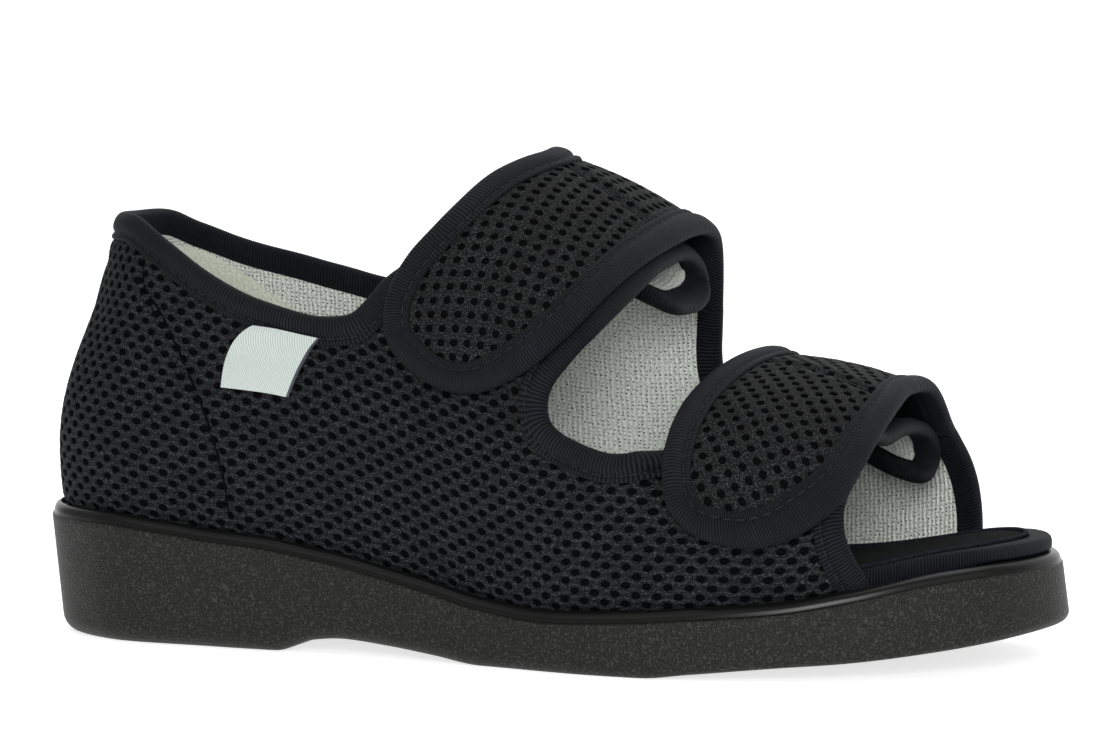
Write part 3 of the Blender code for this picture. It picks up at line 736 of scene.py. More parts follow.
class Pattern:
    """A material's tree while it is made."""

    def __init__(self, name: str) -> None:
        """Start a material with a principled shader.

        Args:
            name: the material's name.
        """
        self.material = bpy.data.materials.new(name)
        self.material.use_nodes = True
        self.tree = self.material.node_tree
        self.tree.nodes.clear()
        self.shader = self.add("ShaderNodeBsdfPrincipled")
        self.add("ShaderNodeOutputMaterial", {"Surface": self.shader})

    def add(self, kind: str, inputs: Any = (), **settings: Any) -> Any:
        """Add a node to the material."""
        return add(self.tree, kind, inputs, **settings)

    def wave(self, value: Any, pitch: float) -> Any:
        """A sine from 0 to 1 with one crest for each pitch.

        Args:
            value: the number that it follows.
            pitch: from one to the next.

        Returns:
            The sine.
        """
        turns = self.add(MATH, [value, 2 * math.pi / pitch], **TIMES)
        sine = self.add(MATH, [turns], operation="SINE")
        return self.add(MATH, [sine, 0.5, 0.5], **SCALED)

    def weighed(self, first: Any, share: float, second: Any, other: float) -> Any:
        """The sum of two numbers, each one times its share."""
        parts = [self.add(MATH, pair, **TIMES) for pair in ((first, share), (second, other))]
        return self.add(MATH, parts, **PLUS)

    def varied(self, value: Any, cloud: Any, swing: float, least: float) -> Any:
        """A number that another one dims, by its swing above its least share."""
        return self.add(MATH, [value, self.add(MATH, [cloud, swing, least], **SCALED)], **TIMES)

    def tint(self, share: Any, low: Any, high: Any) -> Any:
        """A colour between two others, each one an sRGB code or a socket."""
        low, high = (linear(c) if isinstance(c, str) else c for c in (low, high))
        return self.add(MIX, {0: share, 6: low, 7: high}, data_type="RGBA").outputs[2]

    def finish(
        self, colour: Any, roughness: Any, height: Any, depth: float, **sockets: Any
    ) -> Any:
        """Link the shader.

        Args:
            colour: the base colour.
            roughness: the roughness.
            height: relief from 0 to 1.
            depth: its real depth in metres.
            sockets: other inputs of the shader, with underscores for spaces.

        Returns:
            The material.
        """
        bump = self.add("ShaderNodeBump", {"Height": height, "Distance": depth, "Strength": 1.0})
        inputs = {"Base Color": colour, "Roughness": roughness, "Normal": bump}
        inputs.update({name.replace("_", " "): value for name, value in sockets.items()})
        for name, value in inputs.items():
            feed(self.tree, self.shader.inputs[name], value)
        return self.material


@dataclass(frozen=True)
class SpacerYarn:
    """Polyester warp-knit spacer fabric: dull black yarn with painted glints on thin filaments."""

    shade: str = "#0a0a0b"
    # The glint colour is a painted highlight on the filaments
    glint: str = "#424445"
    # Filaments and the streaks on a strand, in millimetres, drawn coarser than real to show
    filament: float = 0.33
    strand: float = 0.85
    waves: float = 0.0

    def make(self) -> Any:
        """Slanting filaments with painted glints, which on the upper follow the waves between the
        holes.
        """
        p = Pattern("wavy_spacer_yarn" if self.waves else "spacer_yarn")
        flat = p.add(CLOTH, uv_map="cloth")
        thin, long = 1.0 / self.filament, 0.5 / self.filament
        slants = []
        for scale, turn in (((thin, long, 1), 0.9), ((long, thin, 1), -0.5)):
            inputs = {"Vector": flat, "Scale": scale, "Rotation": (0.0, 0.0, turn)}
            laid = p.add(MAPPING, inputs)
            slants.append(p.add(NOISE, {"Vector": laid, "Scale": 1.0, "Roughness": 0.6}))
        knit = p.add(MATH, slants, **MOST)
        cloud = p.add(NOISE, {"Vector": flat, "Scale": 0.09})
        if self.waves:
            glint, relief = self.bent(p, flat, knit)
            glint, depth = p.varied(glint, cloud, 0.8, 0.5), 0.0006
        else:
            glint = p.varied(p.add(RANGE, [knit, 0.52, 0.72], **SMOOTH), cloud, 0.7, 0.5)
            relief, depth = knit, 0.00022
        # Painted highlight: the colour goes from the yarn's shade to its glint
        colour = p.tint(glint, self.shade, self.glint)
        return p.finish(colour, 0.7, relief, depth, Specular_IOR_Level=0.08, Sheen_Weight=0.01)

    def bent(self, p: Pattern, flat: Any, knit: Any) -> tuple[Any, Any]:
        """Bend the strands around the holes of the upper's mesh.

        Args:
            p: the material's tree.
            flat: the point on the flat cloth.
            knit: the slanting filaments.

        Returns:
            The painted glint, brighter on the crests of the waves, and the relief of the yarn.
        """
        x, y, _ = p.add(SPLIT, [flat]).outputs
        (ax, ay), (bx, by) = MESH_ROW, MESH_COLUMN
        area = ax * by - ay * bx
        rise = p.weighed(x, (by - ay) / area, y, (ax - bx) / area)
        turn = p.weighed(x, (by + ay) / area, y, -(ax + bx) / area)
        swings = [p.add(MATH, [p.add(MATH, [value, math.pi], **TIMES)], operation=kind)
                  for value, kind in ((turn, "COSINE"), (rise, "SINE"))]
        bend = p.add(MATH, [p.add(MATH, swings, **TIMES), self.waves], **TIMES)
        level = p.add(MATH, [rise, bend], **MINUS)
        course = p.wave(p.add(MATH, [level, -0.25], **PLUS), 1.0)
        waved = p.add(JOIN, [x, p.add(MATH, [level, area / (ax - bx)], **TIMES)])
        scale = (1.0 / self.strand, 1.0 / self.filament, 1)
        laid = p.add(MAPPING, {"Vector": waved, "Scale": scale})
        strands = p.add(NOISE, {"Vector": laid, "Scale": 1.0, "Roughness": 0.6})
        yarn = p.add(MATH, [strands, p.add(MATH, [knit, 0.92], **TIMES)], **MOST)
        # Painted highlight: the glint is brighter on the crests of the waves between the holes
        crest = p.add(RANGE, [course, 0.30, 0.95], **SMOOTH)
        glint = p.varied(p.add(RANGE, [yarn, 0.50, 0.68], **SMOOTH), crest, 0.5, 0.45)
        return glint, p.weighed(yarn, 0.55, course, 0.45)


@dataclass(frozen=True)
class SpacerBacking:
    """The inside of a spacer fabric's cell: black pile yarn in deep shade."""

    shade: str = "#040405"
    pile: str = "#0f1012"

    def make(self) -> Any:
        """Almost no light comes back out of a cell."""
        p = Pattern("spacer_cell")
        pile = p.add(NOISE, {"Vector": p.add(CLOTH, uv_map="cloth"), "Scale": 2.4})
        colour = p.tint(p.add(RANGE, [pile, 0.45, 0.8], **SMOOTH), self.shade, self.pile)
        return p.finish(colour, 0.9, pile, 0.0003, Specular_IOR_Level=0.05)


@dataclass(frozen=True)
class RibbedTape:
    """Ribbed polyester binding tape in blue-black, folded over the cut edges."""

    # The tape's blue-black, darkened by painted shade in the grooves, up to a painted highlight on
    # the ribs' crests
    shade: str = "#08090b"
    crest: str = "#1f2329"
    # In millimetres: the ribs as real, and the twill over them drawn coarser to show
    rib: float = 0.80
    twill: float = 0.43

    def make(self) -> Any:
        """Ribs across the tape, each one a cord with fine twill over it and a painted highlight on
        its crest.
        """
        p = Pattern("ribbed_tape")
        flat = p.add(CLOTH, uv_map="cloth")
        along, across, _ = p.add(SPLIT, [flat]).outputs
        sway = p.add(NOISE, {"Vector": flat, "Scale": 0.35})
        rib = p.wave(p.add(MATH, [sway, 0.7, along], **SCALED), self.rib)
        twill = p.wave(p.add(MATH, [across, along], **PLUS), self.twill)
        # Painted highlight on the ribs, unevenly strong over the tape
        uneven_sheen = p.add(NOISE, {"Vector": flat, "Scale": 0.12, "Detail": 3.0})
        light = p.varied(p.add(RANGE, [rib, 0.15, 0.95], **SMOOTH), uneven_sheen, 0.9, 0.30)
        colour = p.tint(light, self.shade, self.crest)
        relief = p.weighed(rib, 0.8, twill, 0.2)
        return p.finish(colour, 0.6, relief, 0.00030, Specular_IOR_Level=0.08, Sheen_Weight=0.01)


@dataclass(frozen=True)
class LoopLining:
    """Cotton loop knit in pale grey with columns of small dark gaps between its wales."""

    shade: str = "#f8fcf5"
    # The hollow colour is painted shade where the loops and the wales sink
    hollow: str = "#b3bdb2"
    gap: str = "#303533"
    # Columns and rows of the knit, in millimetres
    wale: float = 1.26
    course: float = 1.00

    def make(self) -> Any:
        """Wales stand up as soft cords with painted shade between them, and the black outer cloth
        shows in the gaps.
        """
        p = Pattern("loop_lining")
        flat = p.add(CLOTH, uv_map="cloth")
        along, across, _ = p.add(SPLIT, [flat]).outputs
        sway = p.add(MATH, [p.add(NOISE, {"Vector": flat, "Scale": 0.30}), 1.1, along], **SCALED)
        wale = p.wave(sway, self.wale)
        scale = (1 / self.wale, 1 / self.course, 1)
        cell = p.add(MAPPING, {"Vector": p.add(JOIN, [sway, across]), "Scale": scale})
        inputs = {"Vector": cell, "Scale": 1.0, "Randomness": 0.35}
        spot = p.add(RANGE, [p.add(CELLS, inputs, voronoi_dimensions="2D"), 0.30, 0.10], **SMOOTH)
        chance = p.add(NOISE, {"Vector": flat, "Scale": 0.85, "Roughness": 0.6})
        dark = p.varied(spot, p.add(RANGE, [chance, 0.38, 0.58], **SMOOTH), 0.8, 0.12)
        fluff = p.add(NOISE, {"Vector": flat, "Scale": 1.9, "Detail": 3.0, "Roughness": 0.7})
        body = p.weighed(p.add(RANGE, [fluff, 0.32, 0.66], **SMOOTH), 0.65, wale, 0.35)
        # Painted shade: darker where the loops and the wales sink, as in the relief
        colour = p.tint(dark, p.tint(body, self.hollow, self.shade), self.gap)
        raised = p.weighed(fluff, 0.65, wale, 0.35)
        relief = p.add(MATH, [raised, p.add(MATH, [dark, 0.5], **TIMES)], **MINUS)
        return p.finish(colour, 0.95, relief, 0.0009, Specular_IOR_Level=0.2, Sheen_Weight=0.1)


@dataclass(frozen=True)
class HookFacing:
    """Black loop facing under the straps, where the hooks of the patch take hold."""

    shade: str = "#0a0b0d"
    pile: str = "#1d2024"

    def make(self) -> Any:
        """A dense dull pile in fine rows."""
        p = Pattern("hook_facing")
        flat = p.add(CLOTH, uv_map="cloth")
        pile = p.add(NOISE, {"Vector": flat, "Scale": 1.9, "Detail": 3.0, "Roughness": 0.7})
        relief = p.varied(pile, p.wave(p.add(SPLIT, [flat]), 0.9), 0.4, 0.6)
        colour = p.tint(p.add(RANGE, [relief, 0.3, 0.7], **SMOOTH), self.shade, self.pile)
        return p.finish(colour, 0.85, relief, 0.0004, Specular_IOR_Level=0.1)


@dataclass(frozen=True)
class BrushedPatch:
    """Brushed nylon over the heel stiffener: the lining's grey, smooth and a little warmer."""

    shade: str = "#d0d4c6"
    hollow: str = "#b1b6a9"

    def make(self) -> Any:
        """A short nap with faint mottling."""
        p = Pattern("brushed_patch")
        flat = p.add(CLOTH, uv_map="cloth")
        nap = p.add(NOISE, {"Vector": flat, "Scale": 1.2, "Detail": 3.0, "Roughness": 0.6})
        colour = p.tint(p.add(RANGE, [nap, 0.3, 0.75], **SMOOTH), self.hollow, self.shade)
        return p.finish(colour, 0.9, nap, 0.0003, Specular_IOR_Level=0.2, Sheen_Weight=0.1)


@dataclass(frozen=True)
class Plush:
    """Short black polyester plush on the footbed."""

    name: str = "plush"
    shade: str = "#050607"
    # A painted sheen, lighter in patches where the pile leans
    painted_sheen: str = "#24282e"

    def make(self) -> Any:
        """A soft pile: dark face on, with a painted grey sheen in patches where it leans."""
        p = Pattern(self.name)
        place = p.add(PLACE).outputs["Object"]
        pile = p.add(NOISE, {"Vector": place, "Scale": 1.5 * PER_MM, "Roughness": 0.7})
        stroke = p.add(NOISE, {"Vector": place, "Scale": 0.06 * PER_MM})
        # Painted sheen in patches where the pile leans
        lean = p.add(MATH, [p.add(RANGE, [pile, 0.5, 0.8], **SMOOTH), stroke], **TIMES)
        colour = p.tint(lean, self.shade, self.painted_sheen)
        return p.finish(colour, 0.95, pile, 0.0004, Specular_IOR_Level=0.04, Sheen_Weight=0.01)


@dataclass(frozen=True)
class MouldedFoam:
    """Charcoal polyurethane foam moulded against a sandblasted tool, with painted glints on its
    grain.
    """

    shade: str = "#0b0c0b"
    cloud: str = "#121211"
    grain_glint: str = "#343431"
    # Pebbles of the sandblasted tool, in millimetres, drawn a little coarser than real to show
    grain: float = 0.52

    def make(self) -> Any:
        """Fine pebbles on the walls with painted glints on their highest grain, and a smooth satin
        rim.
        """
        p = Pattern("moulded_foam")
        place = p.add(PLACE).outputs["Object"]
        pebble = p.add(CELLS, {"Vector": place, "Scale": PER_MM / self.grain})
        inputs = {"Vector": place, "Scale": 1.5 * PER_MM, "Detail": 3.0, "Roughness": 0.6}
        fine = p.add(NOISE, inputs)
        grain = p.weighed(pebble, 0.55, fine, 0.6)
        smooth = p.add("ShaderNodeAttribute", attribute_name="smooth").outputs["Fac"]
        rough = p.add(MATH, [1.0, smooth], **MINUS)
        cloud = p.add(NOISE, {"Vector": place, "Scale": 0.026 * PER_MM, "Detail": 3.0})
        tone = p.tint(p.add(MATH, [cloud, 0.7], **TIMES), self.shade, self.cloud)
        # Painted highlight: glints on the highest grain, on the walls only
        share = p.add(MATH, [rough, 0.75], **TIMES)
        grain_glint = p.add(MATH, [p.add(RANGE, [grain, 0.58, 0.78], **SMOOTH), share], **TIMES)
        colour = p.tint(grain_glint, tone, self.grain_glint)
        gloss = p.add(MATH, [rough, 0.20, 0.28], **SCALED)
        relief = p.add(MATH, [grain, rough], **TIMES)
        return p.finish(colour, gloss, relief, 0.0004, Specular_IOR_Level=0.2)


@dataclass(frozen=True)
class WovenLabel:
    """Blank damask label in silvery white, with a blue-black selvage."""

    shade: str = "#c0c9c4"
    hollow: str = "#9da7a2"
    selvage: str = "#141b2c"
    # Floats of the weft, in millimetres, drawn coarser than real to show
    weft: float = 0.62

    def make(self) -> Any:
        """Fine slanting floats of weft, and one dark edge."""
        p = Pattern("woven_label")
        along, across, _ = p.add(SPLIT, [p.add(CLOTH, uv_map="cloth")]).outputs
        slant = p.add(MATH, [along, p.add(MATH, [across, 0.8], **TIMES)], **PLUS)
        weft = p.wave(slant, self.weft)
        colour = p.tint(p.add(MATH, [weft, 0.8], **TIMES), self.hollow, self.shade)
        colour = p.tint(p.add(RANGE, [along, 0.75, 0.55], **SMOOTH), colour, self.selvage)
        return p.finish(colour, 0.5, weft, 0.00012, Sheen_Weight=0.2)


@dataclass(frozen=True)
class SewingThread:
    """Twisted polyester thread, black with a slight shine. Its twist is drawn coarser to show."""

    shade: str = "#0d0f12"
    shine: str = "#292d33"

    def make(self) -> Any:
        """The twist shows as fine slanting bands."""
        p = Pattern("sewing_thread")
        place = p.add(PLACE).outputs["Object"]
        twist = p.add(NOISE, {"Vector": place, "Scale": 2.6 * PER_MM, "Detail": 1.0})
        colour = p.tint(twist, self.shade, self.shine)
        return p.finish(colour, 0.5, twist, 0.00008, Specular_IOR_Level=0.25)


@dataclass(frozen=True)
class StudioPaper:
    """Matt white background paper."""

    shade: str = "#d4d4d4"
    tooth: str = "#d8d8d8"
    glow: float = 0.72

    def make(self) -> Any:
        """Even and matt, with the faintest tooth."""
        p = Pattern("studio_paper")
        tooth = p.add(NOISE, {"Vector": p.add(PLACE).outputs["Object"], "Scale": 0.6 * PER_MM})
        colour = p.tint(tooth, self.shade, self.tooth)
        glow = {"Emission_Color": linear("#ffffff"), "Emission_Strength": self.glow}
        return p.finish(colour, 0.9, tooth, 0.00003, Specular_IOR_Level=0.1, **glow)


class Finish(Enum):
    """The shoe's finishes by their use."""

    YARN = SpacerYarn()
    WAVY = SpacerYarn(shade="#090a0b", glint="#484b4e", waves=0.21)
    CELL = SpacerBacking()
    TAPE = RibbedTape()
    LINING = LoopLining()
    FACING = HookFacing()
    PATCH = BrushedPatch()
    PLUSH = Plush()
    # The tufts' plush, lighter than the pad's, is a painted highlight along the tape's edge
    TUFT = Plush("plush_tuft", "#1a1e23", "#454b54")
    FOAM = MouldedFoam()
    LABEL = WovenLabel()
    THREAD = SewingThread()
    PAPER = StudioPaper()


class Wardrobe:
    """Makes each material once."""

    def __init__(self) -> None:
        """Start empty."""
        self.made: dict[Finish, Any] = {}

    def get(self, finish: Finish) -> Any:
        """The material of a finish.

        Args:
            finish: the finish.

        Returns:
            The material.
        """
        if finish not in self.made:
            self.made[finish] = finish.value.make()
        return self.made[finish]


# Meshes

def linked(name: str, data: Any) -> Any:
    """Put a new object in the scene.

    Args:
        name: the object's name.
        data: its mesh, camera or light.

    Returns:
        The object.
    """
    item = bpy.data.objects.new(name, data)
    bpy.context.scene.collection.objects.link(item)
    return item


def raw_mesh(name: str, points: Array, edges: Sequence = (), faces: Sequence = ()) -> Any:
    """A mesh of plain points, edges and faces.

    Args:
        name: the mesh's name.
        points: its points.
        edges: its edges.
        faces: its polygons.

    Returns:
        The mesh.
    """
    mesh = bpy.data.meshes.new(name)
    mesh.from_pydata(points.tolist(), edges, faces)
    return mesh


def lay_pattern(mesh: Any, flat: Array) -> None:
    """Keep the flat place of each vertex as the cloth's UV map.

    Args:
        mesh: the mesh.
        flat: a flat point for each vertex, in millimetres.
    """
    layer = mesh.uv_layers.new(name="cloth")
    corner = np.zeros(len(mesh.loops), np.int32)
    mesh.loops.foreach_get("vertex_index", corner)
    layer.data.foreach_set("uv", flat[corner].astype(np.float32).ravel())


def node_group(name: str, **inputs: str) -> tuple[Any, Any]:
    """Start a Geometry Nodes tree.

    Args:
        name: the tree's name.
        inputs: its named inputs after the geometry, and the kind of each one.

    Returns:
        The tree and the sockets of its inputs.
    """
    tree = bpy.data.node_groups.new(name, "GeometryNodeTree")
    sockets = [("Geometry", "INPUT", "Geometry")]
    sockets += [(title, "INPUT", kind) for title, kind in inputs.items()]
    for title, side, kind in sockets + [("Geometry", "OUTPUT", "Geometry")]:
        tree.interface.new_socket(title, in_out=side, socket_type="NodeSocket" + kind)
    return tree, add(tree, "NodeGroupInput").outputs


@dataclass
class Maker:
    """Makes objects in the part's frame from points in the shoe frame."""

    middle: Array
    wardrobe: Wardrobe

    def mesh(
        self,
        name: str,
        points: Array,
        faces: Sequence,
        finish: Finish,
        uv: Optional[Array] = None,
        angle: float = 60.0,
    ) -> Any:
        """Make a piece.

        Args:
            name: the piece's name.
            points: its points in the shoe frame.
            faces: its polygons.
            finish: its material.
            uv: a flat point for each vertex, in millimetres.
            angle: edges sharper than this many degrees stay sharp.

        Returns:
            The object.
        """
        faces = [tuple(int(k) for k in face) for face in faces]
        mesh = raw_mesh(name, points - self.middle, faces=faces)
        if uv is not None:
            lay_pattern(mesh, uv)
        mesh.materials.append(self.wardrobe.get(finish))
        self.shade(mesh, angle)
        return linked(name, mesh)

    def shade(self, mesh: Any, angle: float) -> None:
        """Smooth shading, sharp above an angle."""
        mesh.polygons.foreach_set("use_smooth", np.ones(len(mesh.polygons), bool))
        mesh.set_sharp_from_angle(angle=math.radians(angle))

    def outward(self, item: Any) -> None:
        """Point the faces of a closed mesh outward.

        Args:
            item: the object.
        """
        work = bmesh.new()
        work.from_mesh(item.data)
        bmesh.ops.recalc_face_normals(work, faces=work.faces)
        work.to_mesh(item.data)
        work.free()

    def baked(self, item: Any) -> Any:
        """Turn an object's modifiers into its plain mesh.

        Args:
            item: the object.

        Returns:
            The same object.
        """
        graph = bpy.context.evaluated_depsgraph_get()
        mesh = bpy.data.meshes.new_from_object(item.evaluated_get(graph))
        item.modifiers.clear()
        old, item.data = item.data, mesh
        bpy.data.meshes.remove(old)
        mesh.name = item.name
        return item

    def grown(self, mesh: Any, tree: Any, values: dict[str, Any]) -> Any:
        """Grow a piece from a mesh by Geometry Nodes.

        Args:
            mesh: the points or paths that it grows on.
            tree: the node tree.
            values: what its named inputs get.

        Returns:
            The object with its plain mesh.
        """
        item = linked(mesh.name, mesh)
        nodes = item.modifiers.new("grow", "NODES")
        nodes.node_group = tree
        for socket in tree.interface.items_tree:
            if socket.in_out == "INPUT" and socket.name in values:
                nodes[socket.identifier] = values[socket.name]
        return self.baked(item)


def grid_faces(rows: int, columns: int) -> Faces:
    """Quads of a grid of points, given row by row."""
    corners = [r * columns + c for r in range(rows - 1) for c in range(columns - 1)]
    return [(a, a + 1, a + columns + 1, a + columns) for a in corners]


def ring_faces(rings: int, count: int, caps: bool = True) -> Faces:
    """Faces of closed rings joined in order.

    Args:
        rings: how many rings.
        count: points in each ring.
        caps: whether both ends are closed by rungs across the shoe.

    Returns:
        The polygons.
    """
    faces: Faces = []
    for k in range(rings - 1):
        for i in range(count):
            j = (i + 1) % count
            faces.append((k * count + i, k * count + j, (k + 1) * count + j, (k + 1) * count + i))
    if not caps:
        return faces
    for start, flip in ((0, False), ((rings - 1) * count, True)):
        for i in range(count // 2):
            a, b = start + i, start + (count - i) % count
            c, d = start + count - i - 1, start + i + 1
            face = list(dict.fromkeys((a, b, c, d)))
            faces.append(tuple(reversed(face)) if flip else tuple(face))
    return faces


@dataclass
class PerforatedCloth:
    """Spacer fabric with a lattice of round cells, made flat and then wrapped over the foot.

    Each cell is a real dimple: a raised lip of yarn, a funnel and a dark pit. row and column are
    the steps of the lattice and hole is a cell's half size, in millimetres. shares are the sizes
    of the lip, the funnel and the pit against the hole.
    """

    SIDES = 8
    # How close two cells' corners are to be one point, and what a cell keeps clear of the tape
    WELD, CLEAR = 0.00005, 0.0004
    MARGIN = 0.004

    row: tuple[float, float] = MESH_ROW
    column: tuple[float, float] = MESH_COLUMN
    hole: tuple[float, float] = (1.26, 0.90)
    shares: tuple[float, float, float] = (1.25, 1.02, 0.90)
    lip: float = 0.00012
    funnel: float = 0.00020
    depth: float = 0.00065
    base: float = -0.00028
    unevenness: float = 0.00024
    seed: int = 3
    yarn: Finish = Finish.WAVY

    def tile(self, name: str) -> Any:
        """One cell of the lattice, flat, with a face attribute for its hole.

        Args:
            name: the tile's name.

        Returns:
            The tile.
        """
        a, b = np.array(self.row) * MM, np.array(self.column) * MM
        sides = self.SIDES
        half = [(-a - b) / 2, -b / 2, (a - b) / 2, a / 2]
        corners = half + [(a + b) / 2, b / 2, (b - a) / 2, -a / 2]
        rings = [np.column_stack([corners, np.full(sides, 0.0)])]
        turn = np.array([math.atan2(c[1], c[0]) for c in corners])
        for share, height in zip(self.shares, (self.lip, -self.funnel, -self.depth)):
            across = np.cos(turn) * self.hole[0] * MM * share
            up = np.sin(turn) * self.hole[1] * MM * share
            rings.append(np.column_stack([across, up, np.full(sides, height)]))
        points = np.vstack(rings + [np.array([[0, 0, -self.depth]])])
        faces = ring_faces(len(rings), sides, caps=False)
        floor = (len(rings) - 1) * sides
        faces += [(floor + i, floor + (i + 1) % sides, floor + sides) for i in range(sides)]
        mesh = raw_mesh(name, points, faces=faces)
        mark = mesh.attributes.new("hole", "BOOLEAN", "FACE")
        mark.data.foreach_set("value", [k >= 2 * sides for k in range(len(faces))])
        return linked(name, mesh)

    def tree(self, yarn: Any, cell: Any) -> Any:
        """The node tree that sets a tile on each lattice point.

        Args:
            yarn: the material around the cells.
            cell: the material in the cells.

        Returns:
            The tree.
        """
        sockets = {"Tile": "Object", "Unevenness": "Float", "Seed": "Int"}
        tree, given = node_group("perforated_cloth", **sockets)
        tile = add(tree, "GeometryNodeObjectInfo", {"Object": given["Tile"]}).outputs["Geometry"]
        points = add(tree, "GeometryNodeMeshToPoints", {"Mesh": given["Geometry"]})
        placed = add(tree, "GeometryNodeInstanceOnPoints", {"Points": points, "Instance": tile})
        real = add(tree, "GeometryNodeRealizeInstances", [placed])
        inputs = {"Geometry": real, "Distance": self.WELD}
        joined = add(tree, "GeometryNodeMergeByDistance", inputs)
        inputs = {"Scale": 0.42 * PER_MM, "W": given["Seed"]}
        noise = add(tree, "ShaderNodeTexNoise", inputs, noise_dimensions="4D").outputs["Color"]
        shift = add(tree, "ShaderNodeVectorMath", [noise, (0.5, 0.5, 0.5)], **MINUS)
        inputs = {0: shift, "Scale": given["Unevenness"]}
        shift = add(tree, "ShaderNodeVectorMath", inputs, operation="SCALE")
        moved = add(tree, "GeometryNodeSetPosition", {"Geometry": joined, "Offset": shift})
        painted = add(tree, "GeometryNodeSetMaterial", {"Geometry": moved, "Material": yarn})
        hole = add(tree, "GeometryNodeInputNamedAttribute", {"Name": "hole"}, data_type="BOOLEAN")
        inputs = {"Geometry": painted, "Selection": hole, "Material": cell}
        add(tree, "NodeGroupOutput", [add(tree, "GeometryNodeSetMaterial", inputs)])
        return tree

    def make(
        self,
        maker: Maker,
        name: str,
        sheet: Sheet,
        cut: "Cut",
        relief: Callable[[Array], Array],
    ) -> Any:
        """Make the cloth of a cut piece.

        Args:
            maker: makes the objects.
            name: the piece's name.
            sheet: what the cloth is wrapped over.
            cut: the outline of the piece.
            relief: height to add at flat points.

        Returns:
            The object.
        """
        a, b = np.array(self.row) * MM, np.array(self.column) * MM
        low, high = cut.rim.min(0) - self.MARGIN, cut.rim.max(0) + self.MARGIN
        reach = int(2 * np.abs(cut.rim).max() / min(np.abs(a).max(), np.abs(b).max())) + 4
        i, j = np.meshgrid(np.arange(-reach, reach), np.arange(-reach, reach))
        centres = i.reshape(-1, 1) * a + j.reshape(-1, 1) * b
        centres = centres[((centres > low) & (centres < high)).all(1)]
        half = max(np.abs(a + b).max(), np.abs(a - b).max()) / 2
        keep = inside(centres, cut.rim)
        for plain in cut.plain:
            keep |= distance_to(centres, plain) < half
        keep &= cut.reach(centres) > half + self.CLEAR
        centres = centres[keep]
        lattice = raw_mesh(name, np.column_stack([centres, np.zeros(len(centres))]))
        tile = self.tile(name + "_tile")
        tree = self.tree(maker.wardrobe.get(self.yarn), maker.wardrobe.get(Finish.CELL))
        values = {"Tile": tile, "Unevenness": self.unevenness, "Seed": self.seed}
        item = maker.grown(lattice, tree, values)
        bpy.data.objects.remove(tile, do_unlink=True)
        self.wrap(maker, item, sheet, relief)
        return item

    def wrap(
        self, maker: Maker, item: Any, sheet: Sheet, relief: Callable[[Array], Array]
    ) -> None:
        """Lay the flat cloth over its sheet, and keep the flat point as its pattern's place.

        Args:
            maker: makes the objects.
            item: the object.
            sheet: what the cloth is wrapped over.
            relief: height to add at flat points.
        """
        mesh = item.data
        co = np.zeros(len(mesh.vertices) * 3)
        mesh.vertices.foreach_get("co", co)
        co = co.reshape(-1, 3)
        flat = sheet.limit(co[:, :2])
        points = sheet.place(flat, self.base + co[:, 2] + relief(flat)) - maker.middle
        mesh.vertices.foreach_set("co", points.astype(np.float32).ravel())
        lay_pattern(mesh, flat / MM)
        work = bmesh.new()
        work.from_mesh(mesh)
        bmesh.ops.dissolve_degenerate(work, dist=1e-6, edges=work.edges)
        bmesh.ops.reverse_faces(work, faces=work.faces)
        work.to_mesh(mesh)
        work.free()
        maker.shade(mesh, 75.0)


@dataclass
class Cut:
    """The outline of a cut piece of cloth: bound edges carry tape, plain ones are sewn in.

    rim is the closed outline, bound and plain its stretches, with the cloth to their left.
    """

    runs: list[tuple[Array, bool]]
    rim: Array

    @classmethod
    def from_runs(cls, runs: Sequence[tuple[Array, bool]], pitch: float = 0.0012) -> "Cut":
        """Make a cut from its stretches in order, each one a path and whether it is bound.

        Args:
            runs: each stretch's path, and whether it is bound.
            pitch: how far apart its points are.

        Returns:
            The cut.
        """
        made = []
        for path, taped in runs:
            count = max(3, int(arc_length(path)[-1] / pitch) + 1)
            straight = len(path) == 2
            smooth = np.linspace(path[0], path[1], count) if straight else spline(path, count)
            made.append((smooth, taped))
        return cls(made, np.vstack([path[:-1] for path, taped in made]))

    @property
    def bound(self) -> list[Array]:
        """The stretches that carry tape."""
        return [path for path, taped in self.runs if taped]

    @property
    def plain(self) -> list[Array]:
        """The stretches that are sewn in."""
        return [path for path, taped in self.runs if not taped]

    def shrunk(self, setback: float) -> Array:
        """The rim with its bound stretches moved inward.

        Args:
            setback: how far the bound stretches move.

        Returns:
            The smaller rim.
        """
        parts = []
        for path, taped in self.runs:
            if taped:
                parts.append(path + inward_of(path) * setback)
            else:
                parts.append(path[self.reach(path) > 1.3 * setback])
        return np.vstack(parts)

    def reach(self, points: Array) -> Array:
        """Distance of flat points from the bound edges."""
        return np.min([distance_to(points, path) for path in self.bound], axis=0)


